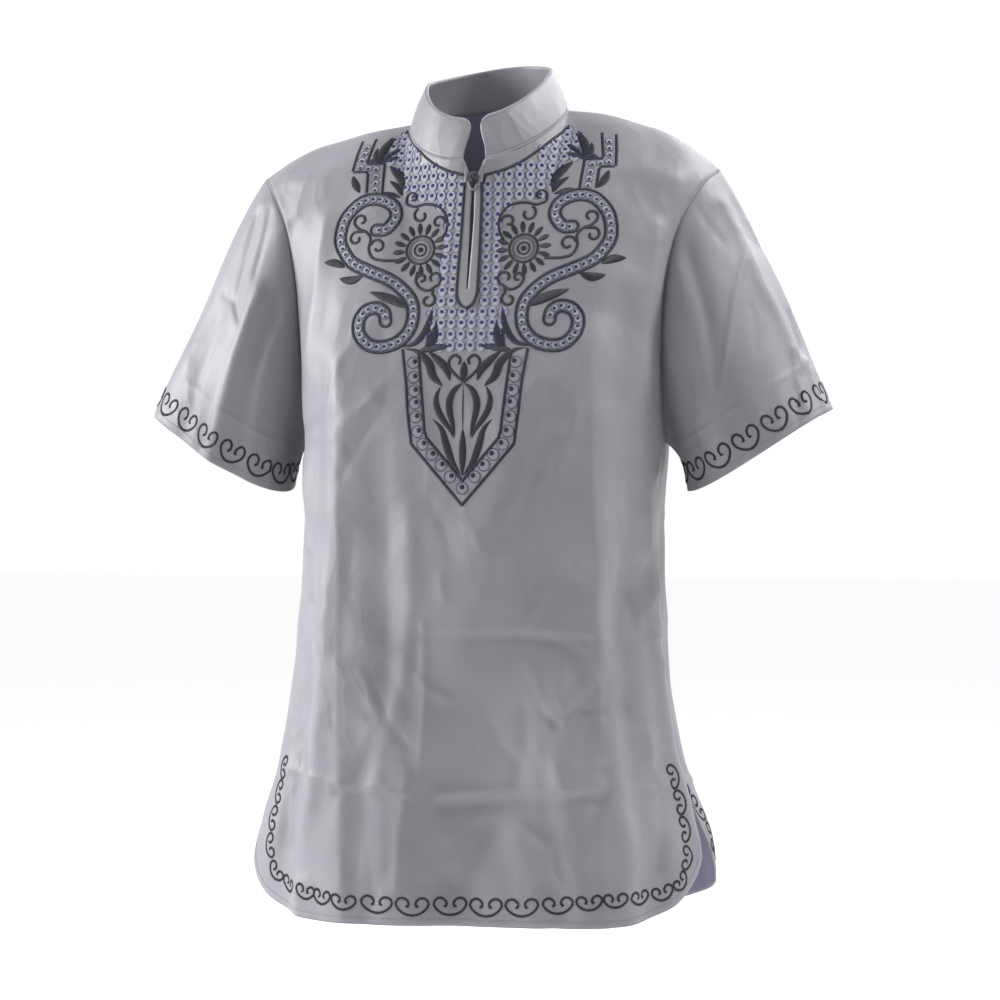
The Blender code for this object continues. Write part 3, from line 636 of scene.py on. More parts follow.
def dressPanel(side, creases, seed):
    grid = panelGrid(side)
    normal = gridNormals(grid, (0, 1, 0) if side == "back" else (0, -1, 0))
    x, z = grid[..., 0], grid[..., 2]
    widths, downs = metresOf(grid, grid.shape[1] // 2)
    away = edgeDistance(grid)
    rise = creaseField(x, z, creases)
    rise += swellField(widths, z, seed, panel["swell"], panel["swellReach"])
    rise += swellField(widths, z, seed + 5, panel["swell"] * panel["rippleShare"], panel["rippleReach"])
    calm = 1 - panel["calmShare"] * ease(-x, *panel["calmFrom"])
    rise += calm * crumpleField(widths, z, seed + 1, panel["lowCount"], panel["lowBox"], panel["crumple"])
    rise += crumpleField(widths, z, seed + 2, panel["highCount"], panel["highBox"],
                         panel["crumple"] * panel["highShare"], panel["highLean"])
    smooth = panel["yokeShare"] * np.exp(-((x / panel["yokeHalf"]) ** 4))
    rise *= 1 - smooth * ease(z, *panel["yokeFoot"])
    sink = -panel["seamSink"] * np.exp(-((away / panel["seamReach"]) ** 2))
    grid = grid + normal * (rise * ease(away, 0.0, panel["hold"]) + sink)[..., None]
    return grid, widths, downs


def openSlit(grid, middle, sign):
    # Draws one side of the middle away from the slit's edge, less and less further from it
    rows = grid[:, middle, 2] > cut["slitFootZ"]
    gap = np.where(rows, smoothRead(slitEdge, "z", "gap", grid[:, middle, 2]), 0)
    out = grid.copy()
    size = np.abs(grid[..., 0] - grid[:, middle, 0][:, None])
    fade = np.clip(1 - size / panel["slitReach"], 0, 1)
    out[..., 0] += sign * gap[:, None] * fade
    return out


def makeFront():
    grid, widths, downs = dressPanel("front", frontCreases, 11)
    rows, columns = grid.shape[:2]
    middle = columns // 2
    left = openSlit(grid, middle, -1)
    right = openSlit(grid, middle, 1)
    joined = np.concatenate([left[:, : middle + 1], right[:, middle + 1 :]], axis=1)
    slitRows = int((grid[:, middle, 2] > cut["slitFootZ"]).sum())
    points = np.concatenate([joined.reshape(-1, 3), right[:slitRows, middle]])
    uv = np.stack([widths, -downs], -1)
    uvs = np.concatenate([uv.reshape(-1, 2), uv[:slitRows, middle]])
    index = np.arange(rows * columns).reshape(rows, columns)
    rightIndex = index.copy()
    rightIndex[:slitRows, middle] = rows * columns + np.arange(slitRows)
    faces = quadsOf(index[:, : middle + 1]) + quadsOf(rightIndex[:, middle:])
    made = meshObject("frontPanel", points, faces, uvs, clothFinish)
    return giveWall(made, cut["wall"], insideShadeFinish), treeOf(points, faces), joined


def makeBack():
    grid, widths, downs = dressPanel("back", backCreases, 23)
    rows, columns = grid.shape[:2]
    index = np.arange(rows * columns).reshape(rows, columns)[:, ::-1]
    faces = quadsOf(index)
    uv = np.stack([widths, -downs], -1).reshape(-1, 2)
    made = meshObject("backPanel", grid.reshape(-1, 3), faces, uv, clothFinish)
    return giveWall(made, cut["wall"], insideShadeFinish), treeOf(grid.reshape(-1, 3), faces), grid


frontPanel, frontTree, frontGrid = makeFront()
backPanel, backTree, backGrid = makeBack()
print("body panels ready")


# Sleeves

sleeve = {
    "hemCentre": (0.2710, -0.010, -0.3315), "hemOut": (0.0710, 0.0, 0.0385), "hemDepth": 0.067,
    "hemDip": 0.010, "dipSkew": 0.7, "topBulge": 0.005, "faceBulge": 0.017, "underClear": 0.007,
    "bulgePlace": 0.7, "rows": 92, "around": 150, "hold": 0.020, "swell": 0.0010, "swellReach": 0.17,
    "ring": 0.1, "crumple": 0.0011, "crumpleCount": 22, "crumpleBox": (-0.2, 0.2, 0.02, 0.33),
    "pressZ": 0.050, "pressHigh": 0.0009, "pressWide": 0.0020, "pressFrom": (0.1, 0.7),
}

# On a sleeve a crease's line runs round from the top line towards the front, and down from the armhole
sleeveCreases = {
    -1: creasesOf((
        (-2.1, 4.6, 0.7, 50, 10, 68, 32, 86, 58),
        (-2.2, 7, 0.4, 36, 28, 55, 58, 78, 90),
        (-2.4, 5.2, 0.6, 54, 106, 76, 96, 102, 94),
        (-4.2, 20, 0.1, 70, 130, 76, 185, 86, 245),
        (4.6, 12, 0.2, 106, 60, 118, 130, 124, 205),
        (-3, 12, 0.2, 142, 40, 150, 110, 152, 170),
        (2, 12, 0.2, 30, 10, 36, 120, 40, 300),
        (-2.5, 14, 0.1, -30, 20, -50, 120, -60, 240),
        (2.8, 13, 0.2, -100, 20, -110, 120, -120, 220),
    )),
    1: creasesOf((
        (3.4, 10, 0.5, 26, 30, 34, 120, 30, 200),
        (1.9, 4.6, 0.8, 40, 85, 86, 106, 132, 128),
        (2.4, 4.4, 0.7, 34, 186, 46, 208, 50, 236),
        (2.4, 4.4, 0.7, 20, 205, 27, 226, 26, 250),
        (-2.2, 5, 0.6, 52, 214, 64, 230, 68, 250),
        (-2.2, 6, 0.5, 10, 160, 18, 190, 36, 212),
        (-3.4, 15, 0.1, 100, 30, 118, 90, 140, 150),
        (-2.6, 14, 0.1, 130, 150, 128, 190, 135, 220),
        (-2.5, 14, 0.1, -40, 20, -55, 110, -60, 230),
        (2.8, 13, 0.2, -105, 20, -115, 130, -125, 210),
    )),
}


def sleeveGrid():
    turn = np.linspace(0, 2 * math.pi, sleeve["around"] + 1)[:-1]
    share = turn / math.pi
    seam = np.where((share <= 1)[:, None], armhole("front", np.minimum(share, 1)),
                    armhole("back", np.clip(2 - share, 0, 1)))
    out = np.array(sleeve["hemOut"])
    hem = np.array(sleeve["hemCentre"]) + np.cos(turn)[:, None] * out
    hem[:, 1] -= sleeve["hemDepth"] * np.sin(turn)
    hem[:, 2] -= sleeve["hemDip"] * np.sin(turn) * (1 - sleeve["dipSkew"] * np.cos(turn))
    top = np.maximum(np.cos(turn), 0)[:, None] * out / np.linalg.norm(out) * sleeve["topBulge"]
    under = np.maximum(-np.cos(turn), 0)[:, None] * np.array([sleeve["underClear"], 0.0, 0.0])
    face = (np.sin(turn) * np.abs(np.sin(turn)))[:, None] * np.array([0.0, -sleeve["faceBulge"], 0.0])
    rows = []
    for down in np.linspace(0, 1, sleeve["rows"] + 1):
        bulge = math.sin(math.pi * down ** sleeve["bulgePlace"])
        rows.append(seam + (hem - seam) * down + (top + under + face) * bulge)
    return np.array(rows), turn


def makeSleeve(sign, name):
    grid, turn = sleeveGrid()
    looped = np.concatenate([grid, grid[:, :1]], axis=1)
    around, downs = metresOf(looped, 0)
    around, downs = around[:, :-1], downs[:, :-1]
    girth = np.linalg.norm(np.diff(looped, axis=1), axis=-1).sum(axis=1)[:, None]
    signed = np.where(around > girth / 2, around - girth, around)
    ring = np.concatenate([grid[:, -1:], grid, grid[:, :1]], axis=1)
    normal = np.cross(np.gradient(ring, axis=1)[:, 1:-1], np.gradient(grid, axis=0))
    normal /= np.linalg.norm(normal, axis=-1)[..., None]
    outward = grid - grid.mean(axis=1)[:, None]
    normal *= np.sign((normal * outward).sum(-1).mean())
    rise = creaseField(signed, downs, sleeveCreases[sign])
    level = [part(turn)[None, :] * sleeve["ring"] for part in (np.cos, np.sin)]
    rise += swellField(level[0] + 0 * downs, level[1] + downs, 31 + sign,
                       sleeve["swell"], sleeve["swellReach"])
    rise += crumpleField(signed, downs, 41 + sign, sleeve["crumpleCount"], sleeve["crumpleBox"],
                         sleeve["crumple"])
    pressed = np.abs(downs[-1][None, :] - downs - sleeve["pressZ"])
    press = sleeve["pressHigh"] * np.exp(-pressed / sleeve["pressWide"])
    rise += press * ease(np.sin(turn), *sleeve["pressFrom"])[None, :]
    sink = -panel["seamSink"] * np.exp(-((downs / panel["seamReach"]) ** 2))
    shape = grid + normal * (rise * ease(downs, 0.0, sleeve["hold"]) + sink)[..., None]
    shape[..., 0] *= sign
    index = np.arange(shape.shape[0] * shape.shape[1]).reshape(shape.shape[:2])
    if sign > 0:
        index = index[:, ::-1]
    faces = quadsOf(index, closed=True)
    uv = np.stack([signed, -downs], -1).reshape(-1, 2)
    points = shape.reshape(-1, 3)
    made = meshObject(name, points, faces, uv, clothFinish)
    return giveWall(made, cut["wall"], insideShadeFinish), treeOf(points, faces), shape


sleeveLeft, sleeveLeftTree, sleeveLeftGrid = makeSleeve(-1, "sleeveLeft")
sleeveRight, sleeveRightTree, sleeveRightGrid = makeSleeve(1, "sleeveRight")
print("sleeves ready")


# Collar

collar = {
    "height": 0.041, "lean": 0.41, "sideways": 0.55, "curve": 0.4, "rows": 16, "quarter": 40,
    "endGap": 0.0110, "endReach": 0.010, "endPace": 1.25, "round": 0.0095, "wall": 0.0022,
    "seamDrop": 0.0010, "seamOut": 0.0006, "waves": ((0.0012, 34, 1.0), (0.0006, 71, 0.0)),
}

collarEnds = (
    ("share", "gap"),
    (0.00, 0.0110), (0.22, 0.0106), (0.45, 0.0088), (0.68, 0.0072), (0.87, 0.0066), (1.00, 0.0066),
)


def makeCollar():
    first = math.asin(collar["endGap"] / cut["neckHalf"])
    ends = np.linspace(0, 1, collar["quarter"]) ** collar["endPace"]
    quarter = first + (math.pi / 2 - first) * ends
    back = np.linspace(math.pi / 2, 0, collar["quarter"])[1:]
    half = np.concatenate([neckSeam("front", quarter), neckSeam("back", back)])
    mirror = half * np.array([-1.0, 1.0, 1.0])
    base = np.concatenate([mirror, half[::-1][1:]])
    base[:, 2] += leanOf(base[:, 0])
    inward = np.stack([-base[:, 0], (cut["neckY"] - base[:, 1]) * collar["sideways"], 0 * base[:, 0]], -1)
    inward /= cut["neckHalf"]
    run = runOf(base)
    near = np.minimum(run, run[-1] - run)
    corner = np.clip(1 - near / collar["round"], 0, 1)
    drop = collar["round"] * (1 - np.sqrt(1 - corner**2))
    grid = []
    for share in np.linspace(0, 1, collar["rows"] + 1):
        rise = share * (collar["height"] - drop * share)
        row = base + inward * (collar["lean"] * rise * (1 - collar["curve"] * (1 - share)))[:, None]
        row[:, 2] += rise
        if share == 0:
            row += np.array([0, 0, -collar["seamDrop"]]) - inward * collar["seamOut"]
        pull = collar["endGap"] - float(smoothRead(collarEnds, "share", "gap", np.array(share)))
        row[:, 0] -= np.sign(base[:, 0]) * pull * np.exp(-near / collar["endReach"])
        for high, pace, start in collar["waves"]:
            row[:, 1] += high * np.sin(run * pace + start) * share
        grid.append(row)
    grid = np.array(grid)
    index = np.arange(grid.shape[0] * grid.shape[1]).reshape(grid.shape[:2])
    faces = quadsOf(index)
    uv = np.stack([np.broadcast_to(run, grid.shape[:2]),
                   np.linspace(0, collar["height"], grid.shape[0])[:, None] + 0 * grid[..., 0]], -1)
    made = meshObject("collarBand", grid.reshape(-1, 3), faces, uv.reshape(-1, 2), clothFinish)
    return giveWall(made, collar["wall"]), treeOf(grid.reshape(-1, 3), faces), grid


collarBand, collarTree, collarGrid = makeCollar()
print("collar ready")

# The facing round the slit, its button and its loop

placketCut = {
    "topZ": -0.0555, "topHalf": 0.0084, "footHalf": 0.0106, "footZ": -0.1985, "pace": 0.8, "rows": 60,
    "columns": 6, "footRows": 12, "laid": 0.0015, "wall": 0.0009, "slitIn": 0.0003, "edgeIn": 0.00039,
    "footLeast": 0.10, "footMiddle": 0.05, "lineTopZ": -0.0745,
}

buttonCut = {
    "radius": 0.0063, "z": -0.0705, "laid": 0.0015, "gap": 0.0005, "steps": 48, "threadTurn": 0.0060,
    "loopRadius": 0.0009, "loopGap": 0.0008, "loopDrop": 0.0042, "loopWide": 0.0040, "loopLong": 0.0076,
    "loopOpen": 20, "loopEnd": 0.0068, "loopSteps": 56,
}

buttonProfile = (
    (0.00, 0.0064), (0.22, 0.00632), (0.45, 0.0060), (0.66, 0.0054), (0.83, 0.0047), (0.95, 0.0040),
    (1.00, 0.0033), (0.96, 0.0028), (0.70, 0.0026), (0.25, 0.0024), (0.25, 0.0000), (0.00, 0.0000),
)


def onFront(x, z):
    hit = frontTree.ray_cast(Vector((x, -1, z)), Vector((0, 1, 0)))
    if hit[0] is None:
        hit = frontTree.find_nearest(Vector((x, -0.10, z)))
    place, normal = np.array(hit[0]), np.array(hit[1])
    return place, normal if normal[1] < 0 else -normal


def placketHalf(z):
    share = (placketCut["topZ"] - z) / (placketCut["topZ"] - cut["slitFootZ"])
    wider = (placketCut["footHalf"] - placketCut["topHalf"]) * min(share, 1) ** placketCut["pace"]
    return placketCut["topHalf"] + wider


def makePlacket():
    columns = placketCut["columns"]
    plan = []
    for z in np.linspace(placketCut["topZ"], cut["slitFootZ"], placketCut["rows"]):
        gap = float(smoothRead(slitEdge, "z", "gap", np.array(z))) + placketCut["slitIn"]
        band = np.linspace(gap, placketHalf(z), columns)
        plan.append([(-reach, z) for reach in band[::-1]] + [(reach, z) for reach in band])
    foot = cut["slitFootZ"] - placketCut["footZ"]
    for share in np.sin(np.linspace(0, math.pi / 2, placketCut["footRows"]))[1:]:
        reach = placketCut["footHalf"] * max(math.sqrt(1 - share**2), placketCut["footLeast"])
        half = np.linspace(placketCut["footMiddle"], 1, columns)
        steps = np.concatenate([-half[::-1], half])
        plan.append([(reach * step, cut["slitFootZ"] - foot * share) for step in steps])
    points = []
    for row in plan:
        for x, z in row:
            place, normal = onFront(x, z)
            points.append(place + normal * placketCut["laid"])
    points = np.array(points).reshape(len(plan), 2 * columns, 3)
    for _ in range(2):
        points[1:-1] = (points[:-2] + 2 * points[1:-1] + points[2:]) / 4
    index = np.arange(len(plan) * 2 * columns).reshape(len(plan), 2 * columns)
    rows = placketCut["rows"]
    faces = quadsOf(index[:rows, :columns]) + quadsOf(index[:rows, columns:]) + quadsOf(index[rows - 1 :])
    uv = np.array([(x, z) for row in plan for x, z in row])
    made = meshObject("slitFacing", points.reshape(-1, 3), faces, uv, facingFinish)
    return giveWall(made, placketCut["wall"])


def buttonSeat():
    sides = [onFront(sign * 0.005, buttonCut["z"]) for sign in (-1, 1)]
    normal = sides[0][1] + sides[1][1]
    normal[0] = 0
    normal /= np.linalg.norm(normal)
    place = (sides[0][0] + sides[1][0]) / 2
    place[0] = 0
    return place + normal * buttonCut["laid"], normal, np.array([0.0, -normal[2], normal[1]])


def makeButton():
    place, normal, down = buttonSeat()
    base = place + normal * buttonCut["gap"]
    aside = np.array([1.0, 0.0, 0.0])
    steps = buttonCut["steps"]
    points, along = [], []
    for share, height in buttonProfile[1:-1]:
        for turn in np.linspace(0, 2 * math.pi, steps, endpoint=False):
            ring = aside * math.cos(turn) + down * math.sin(turn)
            points.append(base + normal * height + ring * share * buttonCut["radius"])
            along.append(turn * buttonCut["threadTurn"])
    rings = len(buttonProfile) - 2
    index = np.arange(rings * steps).reshape(rings, steps)
    faces = [face[::-1] for face in quadsOf(index, closed=True)]
    points += [base + normal * buttonProfile[0][1], base]
    along += [0.0, 0.0]
    for step in range(steps):
        after = (step + 1) % steps
        faces.append((rings * steps, step, after))
        faces.append((rings * steps + 1, (rings - 1) * steps + after, (rings - 1) * steps + step))
    made = meshObject("domedButton", points, faces, None, charcoalThread)
    made.data.attributes.new("along", "FLOAT", "POINT").data.foreach_set("value", along)
    return made


def makeLoop():
    place, normal, down = buttonSeat()
    centre = place + normal * (buttonCut["loopGap"] + buttonCut["loopRadius"]) + down * buttonCut["loopDrop"]
    opened = math.radians(buttonCut["loopOpen"])
    path = [(buttonCut["loopWide"] * math.cos(turn), -buttonCut["loopLong"] * math.sin(turn))
            for turn in np.linspace(opened, 2 * math.pi - opened, buttonCut["loopSteps"])]
    path = [(buttonCut["loopEnd"], path[0][1]), *path, (buttonCut["loopEnd"], path[-1][1])]
    spine = np.array([centre + np.array([aside, 0.0, 0.0]) + down * fall for aside, fall in path])
    return [(spine, np.tile(normal, (len(spine), 1)), np.ones(len(spine)))]


slitFacing = makePlacket()
domedButton = makeButton()
print("facing and button ready")


# Sewing: threads that follow a line, and small motifs strewn on points

def newTree(name, inputs):
    tree = bpy.data.node_groups.new(name, "GeometryNodeTree")
    tree.interface.new_socket("Geometry", in_out="INPUT", socket_type="NodeSocketGeometry")
    for label, kind in inputs:
        tree.interface.new_socket(label, in_out="INPUT", socket_type=kind)
    tree.interface.new_socket("Geometry", in_out="OUTPUT", socket_type="NodeSocketGeometry")
    return tree, tree.nodes.new("NodeGroupInput"), tree.nodes.new("NodeGroupOutput")


def attributeNode(tree, name, kind):
    made = tree.nodes.new("GeometryNodeInputNamedAttribute")
    made.data_type = kind
    made.inputs["Name"].default_value = name
    return made.outputs["Attribute"]


def endTree(tree, geometry, finish, output):
    joined = addNode(tree, "GeometryNodeRealizeInstances", {"Geometry": geometry})
    coat = addNode(tree, "GeometryNodeSetMaterial", {
        "Geometry": joined.outputs["Geometry"], "Material": finish})
    feed(tree, output, {"Geometry": coat.outputs["Geometry"]})


def threadTree():
    # A flattened cord along each line: its flat side lies on the cloth, and teeth can swell it
    tree, given, output = newTree("threadAlong", (
        ("Width", "NodeSocketFloat"), ("Height", "NodeSocketFloat"), ("Tooth", "NodeSocketFloat"),
        ("Pitch", "NodeSocketFloat"), ("Sides", "NodeSocketInt"), ("Finish", "NodeSocketMaterial")))
    line = addNode(tree, "GeometryNodeMeshToCurve", {"Mesh": given.outputs["Geometry"]})
    facing = tree.nodes.new("GeometryNodeSetCurveNormal")
    facing.mode = "FREE"
    feed(tree, facing, {
        "Curve": line.outputs["Curve"], "Normal": attributeNode(tree, "out", "FLOAT_VECTOR")})
    length = tree.nodes.new("GeometryNodeSplineParameter").outputs["Length"]
    keep = tree.nodes.new("GeometryNodeStoreNamedAttribute")
    keep.data_type = "FLOAT"
    keep.domain = "POINT"
    feed(tree, keep, {"Name": "along", "Geometry": facing.outputs["Curve"], "Value": length})
    turns = mathNode(tree, "DIVIDE", length, given.outputs["Pitch"])
    wave = mathNode(tree, "SINE", mathNode(tree, "MULTIPLY", turns, 2 * math.pi))
    swell = mathNode(tree, "ADD", mathNode(tree, "MULTIPLY", wave, given.outputs["Tooth"]), 1.0)
    scale = mathNode(tree, "MULTIPLY", swell, attributeNode(tree, "width", "FLOAT"))
    ring = addNode(tree, "GeometryNodeCurvePrimitiveCircle", {
        "Radius": 1, "Resolution": given.outputs["Sides"]})
    size = addNode(tree, "ShaderNodeCombineXYZ", {
        "X": given.outputs["Height"], "Y": given.outputs["Width"], "Z": 1})
    profile = addNode(tree, "GeometryNodeTransform", {
        "Geometry": ring.outputs["Curve"], "Scale": size.outputs["Vector"]})
    cord = addNode(tree, "GeometryNodeCurveToMesh", {
        "Curve": keep.outputs["Geometry"], "Profile Curve": profile.outputs["Geometry"], "Scale": scale,
        "Fill Caps": True})
    endTree(tree, cord.outputs["Mesh"], given.outputs["Finish"], output)
    return tree


def strewTree():
    # One small motif on every point, turned to the cloth there
    tree, given, output = newTree("strewMotif", (
        ("Motif", "NodeSocketObject"), ("Finish", "NodeSocketMaterial")))
    motif = addNode(tree, "GeometryNodeObjectInfo", {"Object": given.outputs["Motif"]})
    turn = tree.nodes.new("FunctionNodeAxesToRotation")
    turn.primary_axis = "Z"
    turn.secondary_axis = "X"
    feed(tree, turn, {"Primary Axis": attributeNode(tree, "out", "FLOAT_VECTOR"),
                      "Secondary Axis": attributeNode(tree, "way", "FLOAT_VECTOR")})
    put = addNode(tree, "GeometryNodeInstanceOnPoints", {
        "Points": given.outputs["Geometry"], "Instance": motif.outputs["Geometry"],
        "Rotation": turn.outputs["Rotation"], "Scale": attributeNode(tree, "size", "FLOAT")})
    endTree(tree, put.outputs["Instances"], given.outputs["Finish"], output)
    return tree


threadAlong = threadTree()
strewMotif = strewTree()


def runTree(made, tree, values, name):
    # Evaluates the tree once and keeps its result as a plain mesh
    grown = made.modifiers.new("grown", "NODES")
    grown.node_group = tree
    for item in tree.interface.items_tree:
        if item.in_out == "INPUT" and item.name in values:
            grown[item.identifier] = values[item.name]
    bpy.context.view_layer.update()
    seen = made.evaluated_get(bpy.context.evaluated_depsgraph_get())
    mesh = bpy.data.meshes.new_from_object(seen)
    mesh.name = name
    mesh.shade_smooth()
    bpy.data.objects.remove(made)
    return addObject(name, mesh)


def carrier(points, edges, values):
    mesh = bpy.data.meshes.new("carrier")
    mesh.from_pydata([tuple(p) for p in points], edges, [])
    for label, data in values.items():
        data = np.asarray(data, np.float32)
        kind = "FLOAT_VECTOR" if data.ndim == 2 else "FLOAT"
        layer = mesh.attributes.new(label, kind, "POINT")
        layer.data.foreach_set("vector" if data.ndim == 2 else "value", data.ravel())
    return addObject("carrier", mesh)


def threadPiece(name, lines, width, height, finish, tooth=0.0, pitch=0.0015, sides=8):
    points, normals, widths, edges = [], [], [], []
    for line, out, wide in lines:
        first = len(points)
        closed = np.linalg.norm(line[0] - line[-1]) < 1e-6
        if closed:
            line, out, wide = line[:-1], out[:-1], wide[:-1]
        points.extend(line)
        normals.extend(out)
        widths.extend(wide)
        edges += [(first + step, first + step + 1) for step in range(len(line) - 1)]
        if closed:
            edges.append((first + len(line) - 1, first))
    made = carrier(points, edges, {"out": np.array(normals), "width": np.array(widths)})
    values = {"Width": width, "Height": height, "Tooth": tooth, "Pitch": pitch, "Sides": sides,
              "Finish": finish}
    return runTree(made, threadAlong, values, name)


def strewPiece(name, motif, spots, finish):
    # Each spot: place, way out of the cloth, way across, size
    made = carrier([s[0] for s in spots], [], {"out": np.array([s[1] for s in spots]),
                   "way": np.array([s[2] for s in spots]), "size": np.array([s[3] for s in spots])})
    return runTree(made, strewMotif, {"Motif": motif, "Finish": finish}, name)


def smoothLine(controls, step=0.8):
    # An even line through a few given points
    given = np.array(controls, float)
    ends = np.concatenate([[2 * given[0] - given[1]], given, [2 * given[-1] - given[-2]]])
    dense = []
    for place in range(1, len(ends) - 2):
        p0, p1, p2, p3 = ends[place - 1 : place + 3]
        for share in np.linspace(0, 1, 24, endpoint=False):
            first = 2 * p1 + (p2 - p0) * share + (2 * p0 - 5 * p1 + 4 * p2 - p3) * share**2
            dense.append((first + (3 * p1 - p0 - 3 * p2 + p3) * share**3) / 2)
    return evenLine(np.array([*dense, given[-1]]), step)


def evenLine(line, step):
    line = np.asarray(line, float)
    run = runOf(line)
    count = max(int(run[-1] / step), 2)
    at = np.linspace(0, run[-1], count + 1)
    return np.stack([np.interp(at, run, line[:, part]) for part in range(line.shape[1])], -1)


def polar(centre, radius, turn):
    return centre[0] + radius * math.cos(turn), centre[1] + radius * math.sin(turn)


def spiral(centre, radius, start, sweep):
    # A curl that winds in to a little over a third of its radius, by angle in degrees
    return [polar(centre, radius * (1 - 0.62 * share**1.3), math.radians(start + sweep * share))
            for share in np.linspace(0, 1, 30)]


def ringLine(centre, radius):
    return [polar(centre, radius, turn)
            for turn in np.linspace(0, 2 * math.pi, max(int(radius * 8), 20) + 1)]


def layFront(line, width=None, lift=0.0):
    # Lays a line given in mm across and up on the front, and follows the cloth there
    points, normals = [], []
    for x, z in line:
        place, normal = onFront(x / 1000, z / 1000)
        points.append(place)
        normals.append(normal)
    points, normals = np.array(points), np.array(normals)
    if len(normals) > 4:
        normals[1:-1] = normals[:-2] + normals[1:-1] + normals[2:]
        normals /= np.linalg.norm(normals, axis=1)[:, None]
    widths = np.ones(len(points)) if width is None else np.asarray(width, float)
    return points + normals * lift, normals, widths


def mirrored(line, middle=1.0):
    return [(2 * middle - x, z) for x, z in line]


def bothSides(lines):
    return lines + [mirrored(line) for line in lines]


yoke = {
    "scroll": [(-96, -119), (-88, -119), (-82, -114), (-78, -106), (-80, -97), (-87, -91), (-99, -87),
               (-113, -89), (-124, -98), (-131, -110), (-133, -128), (-127, -141), (-117, -152), (-98, -161),
               (-79, -169), (-65, -179), (-55, -191), (-52, -205), (-55, -219), (-65, -230), (-80, -235),
               (-94, -233), (-104, -223), (-106, -210), (-100, -200), (-89, -197), (-81, -202), (-79, -210)],
    "scrollHalf": 5.6, "ringPitch": 7.3,
    "sun": (-50, -140), "keyMiddle": 3.5,
    "tabOuter": [(-60, -238), (-55, -272), (-53, -298), (-49, -329), (1, -387)],
    "tabInner": [(-44, -242), (-39, -285), (-36, -316), (-34, -323), (1, -364)],
}


def offsetLine(line, reach):
    line = np.array(line)
    along = np.gradient(line, axis=0)
    along /= np.linalg.norm(along, axis=1)[:, None]
    return line + np.stack([-along[:, 1], along[:, 0]], -1) * reach


def roundEnd(line, reach, last):
    # Half a ring round the end of a band
    tip = line[-1] if last else line[0]
    near = line[-2] if last else line[1]
    heading = math.atan2(tip[1] - near[1], tip[0] - near[0])
    return [polar(tip, reach, heading + turn) for turn in np.linspace(math.pi / 2, -math.pi / 2, 14)[1:-1]]


def bandOutline(line, reach):
    left = offsetLine(line, reach)
    right = offsetLine(line, -reach)
    return [*left, *roundEnd(line, reach, True), *right[::-1], *roundEnd(line, reach, False), left[0]]


def yokeLines():
    scroll = smoothLine(yoke["scroll"], 1.0)
    outline = evenLine(bandOutline(scroll, yoke["scrollHalf"]), 0.8)
    outline[-1] = outline[0]
    key = [[(-125, -24), (-127, -40), (-128, -57)], [(-127, -58), (-114, -58), (-112, -61), (-111, -80)],
           [(-111, -22), (-113, -35), (-115, -48)], [(-115, -49), (-97, -50)], [(-97, -50), (-95, -81)]]
    curls = [
        [(-30, -132), (-25, -121), (-26, -107), (-35, -97), (-48, -94), (-59, -96), (-68, -93),
         *spiral((-63, -87), 6.0, 190, -295)],
        spiral((-52, -105), 7.8, 118, 280),
        spiral((-33.5, -113), 6.6, -8, 300),
        [(-51, -162), (-52, -171), (-47, -178), (-39, -180.5), *spiral((-34, -169), 7.6, -75, 300)],
        spiral((-46.5, -169), 4.8, 175, -290),
        [(-34, -180), *spiral((-38.5, -190), 7.0, 60, -330)],
        [(-71, -150), (-86, -150), (-97, -147), (-102, -138), (-101, -128), (-106, -121), (-113, -118),
         *spiral((-113, -109), 7.0, 230, -300)],
        [(-108, -120), *spiral((-116, -127), 7.0, 72, 310)],
        [(-102, -134), *spiral((-93, -136), 7.6, 160, -300)],
    ]
    heart = [[(1, -270), (-6, -264), (-13, -256), (-13.5, -248), (-8, -244), (-3, -248), (-4, -253)]]
    lines = [outline] + [smoothLine(line) for line in curls + heart]
    lines += [evenLine(yoke["tabOuter"], 0.8), evenLine(yoke["tabInner"], 0.8)]
    bands = [evenLine(line, 0.8) for line in key]
    bands += [mirrored(line, yoke["keyMiddle"]) for line in bands]
    neck = [smoothLine([(-82, -13), (-70, -28), (-57, -41.5), (-43, -53), (-27, -61.5), (-9, -67)])]
    return bothSides(lines) + bands, bothSides(neck) + [evenLine([(11.2, -67), (10.2, -76)], 0.8)]


def placketLine():
    # Round the facing, a little way in from its edge
    rows = np.linspace(placketCut["lineTopZ"], cut["slitFootZ"], 60)
    left = [(-(placketHalf(z) - placketCut["edgeIn"]), z) for z in rows]
    foot = cut["slitFootZ"] - placketCut["footZ"]
    half = placketCut["footHalf"] - placketCut["edgeIn"]
    arc = [(-half * math.cos(turn), cut["slitFootZ"] - foot * math.sin(turn))
           for turn in np.linspace(0, math.pi, 30)[1:-1]]
    line = np.array([*left, *arc, *[(-x, z) for x, z in left[::-1]]])
    points, normals = [], []
    for x, z in evenLine(line, 0.0008):
        place, normal = onFront(x, z)
        points.append(place + normal * placketCut["laid"])
        normals.append(normal)
    return np.array(points), np.array(normals), np.ones(len(points))


def yokeRings():
    scroll = smoothLine(yoke["scroll"], 0.5)
    run = np.arange(len(scroll)) * 0.5
    spots = []
    for at in np.arange(2.0, run[-1], yoke["ringPitch"]):
        place = scroll[int(at / 0.5)]
        ahead = scroll[min(int(at / 0.5) + 2, len(scroll) - 1)] - scroll[max(int(at / 0.5) - 2, 0)]
        spots.append((*place, math.atan2(ahead[1], ahead[0])))
    for x, z in ((-119, -31), (-120, -38), (-121, -45), (-121, -53), (-113, -54), (-105, -55), (-104, -63),
                 (-103.5, -70), (-103, -77)):
        spots.append((x, z, -1.5))
    middle = [yoke["keyMiddle"] if turn == -1.5 else 1.0 for x, z, turn in spots]
    return spots + [(2 * m - x, z, math.pi - turn) for m, (x, z, turn) in zip(middle, spots)]


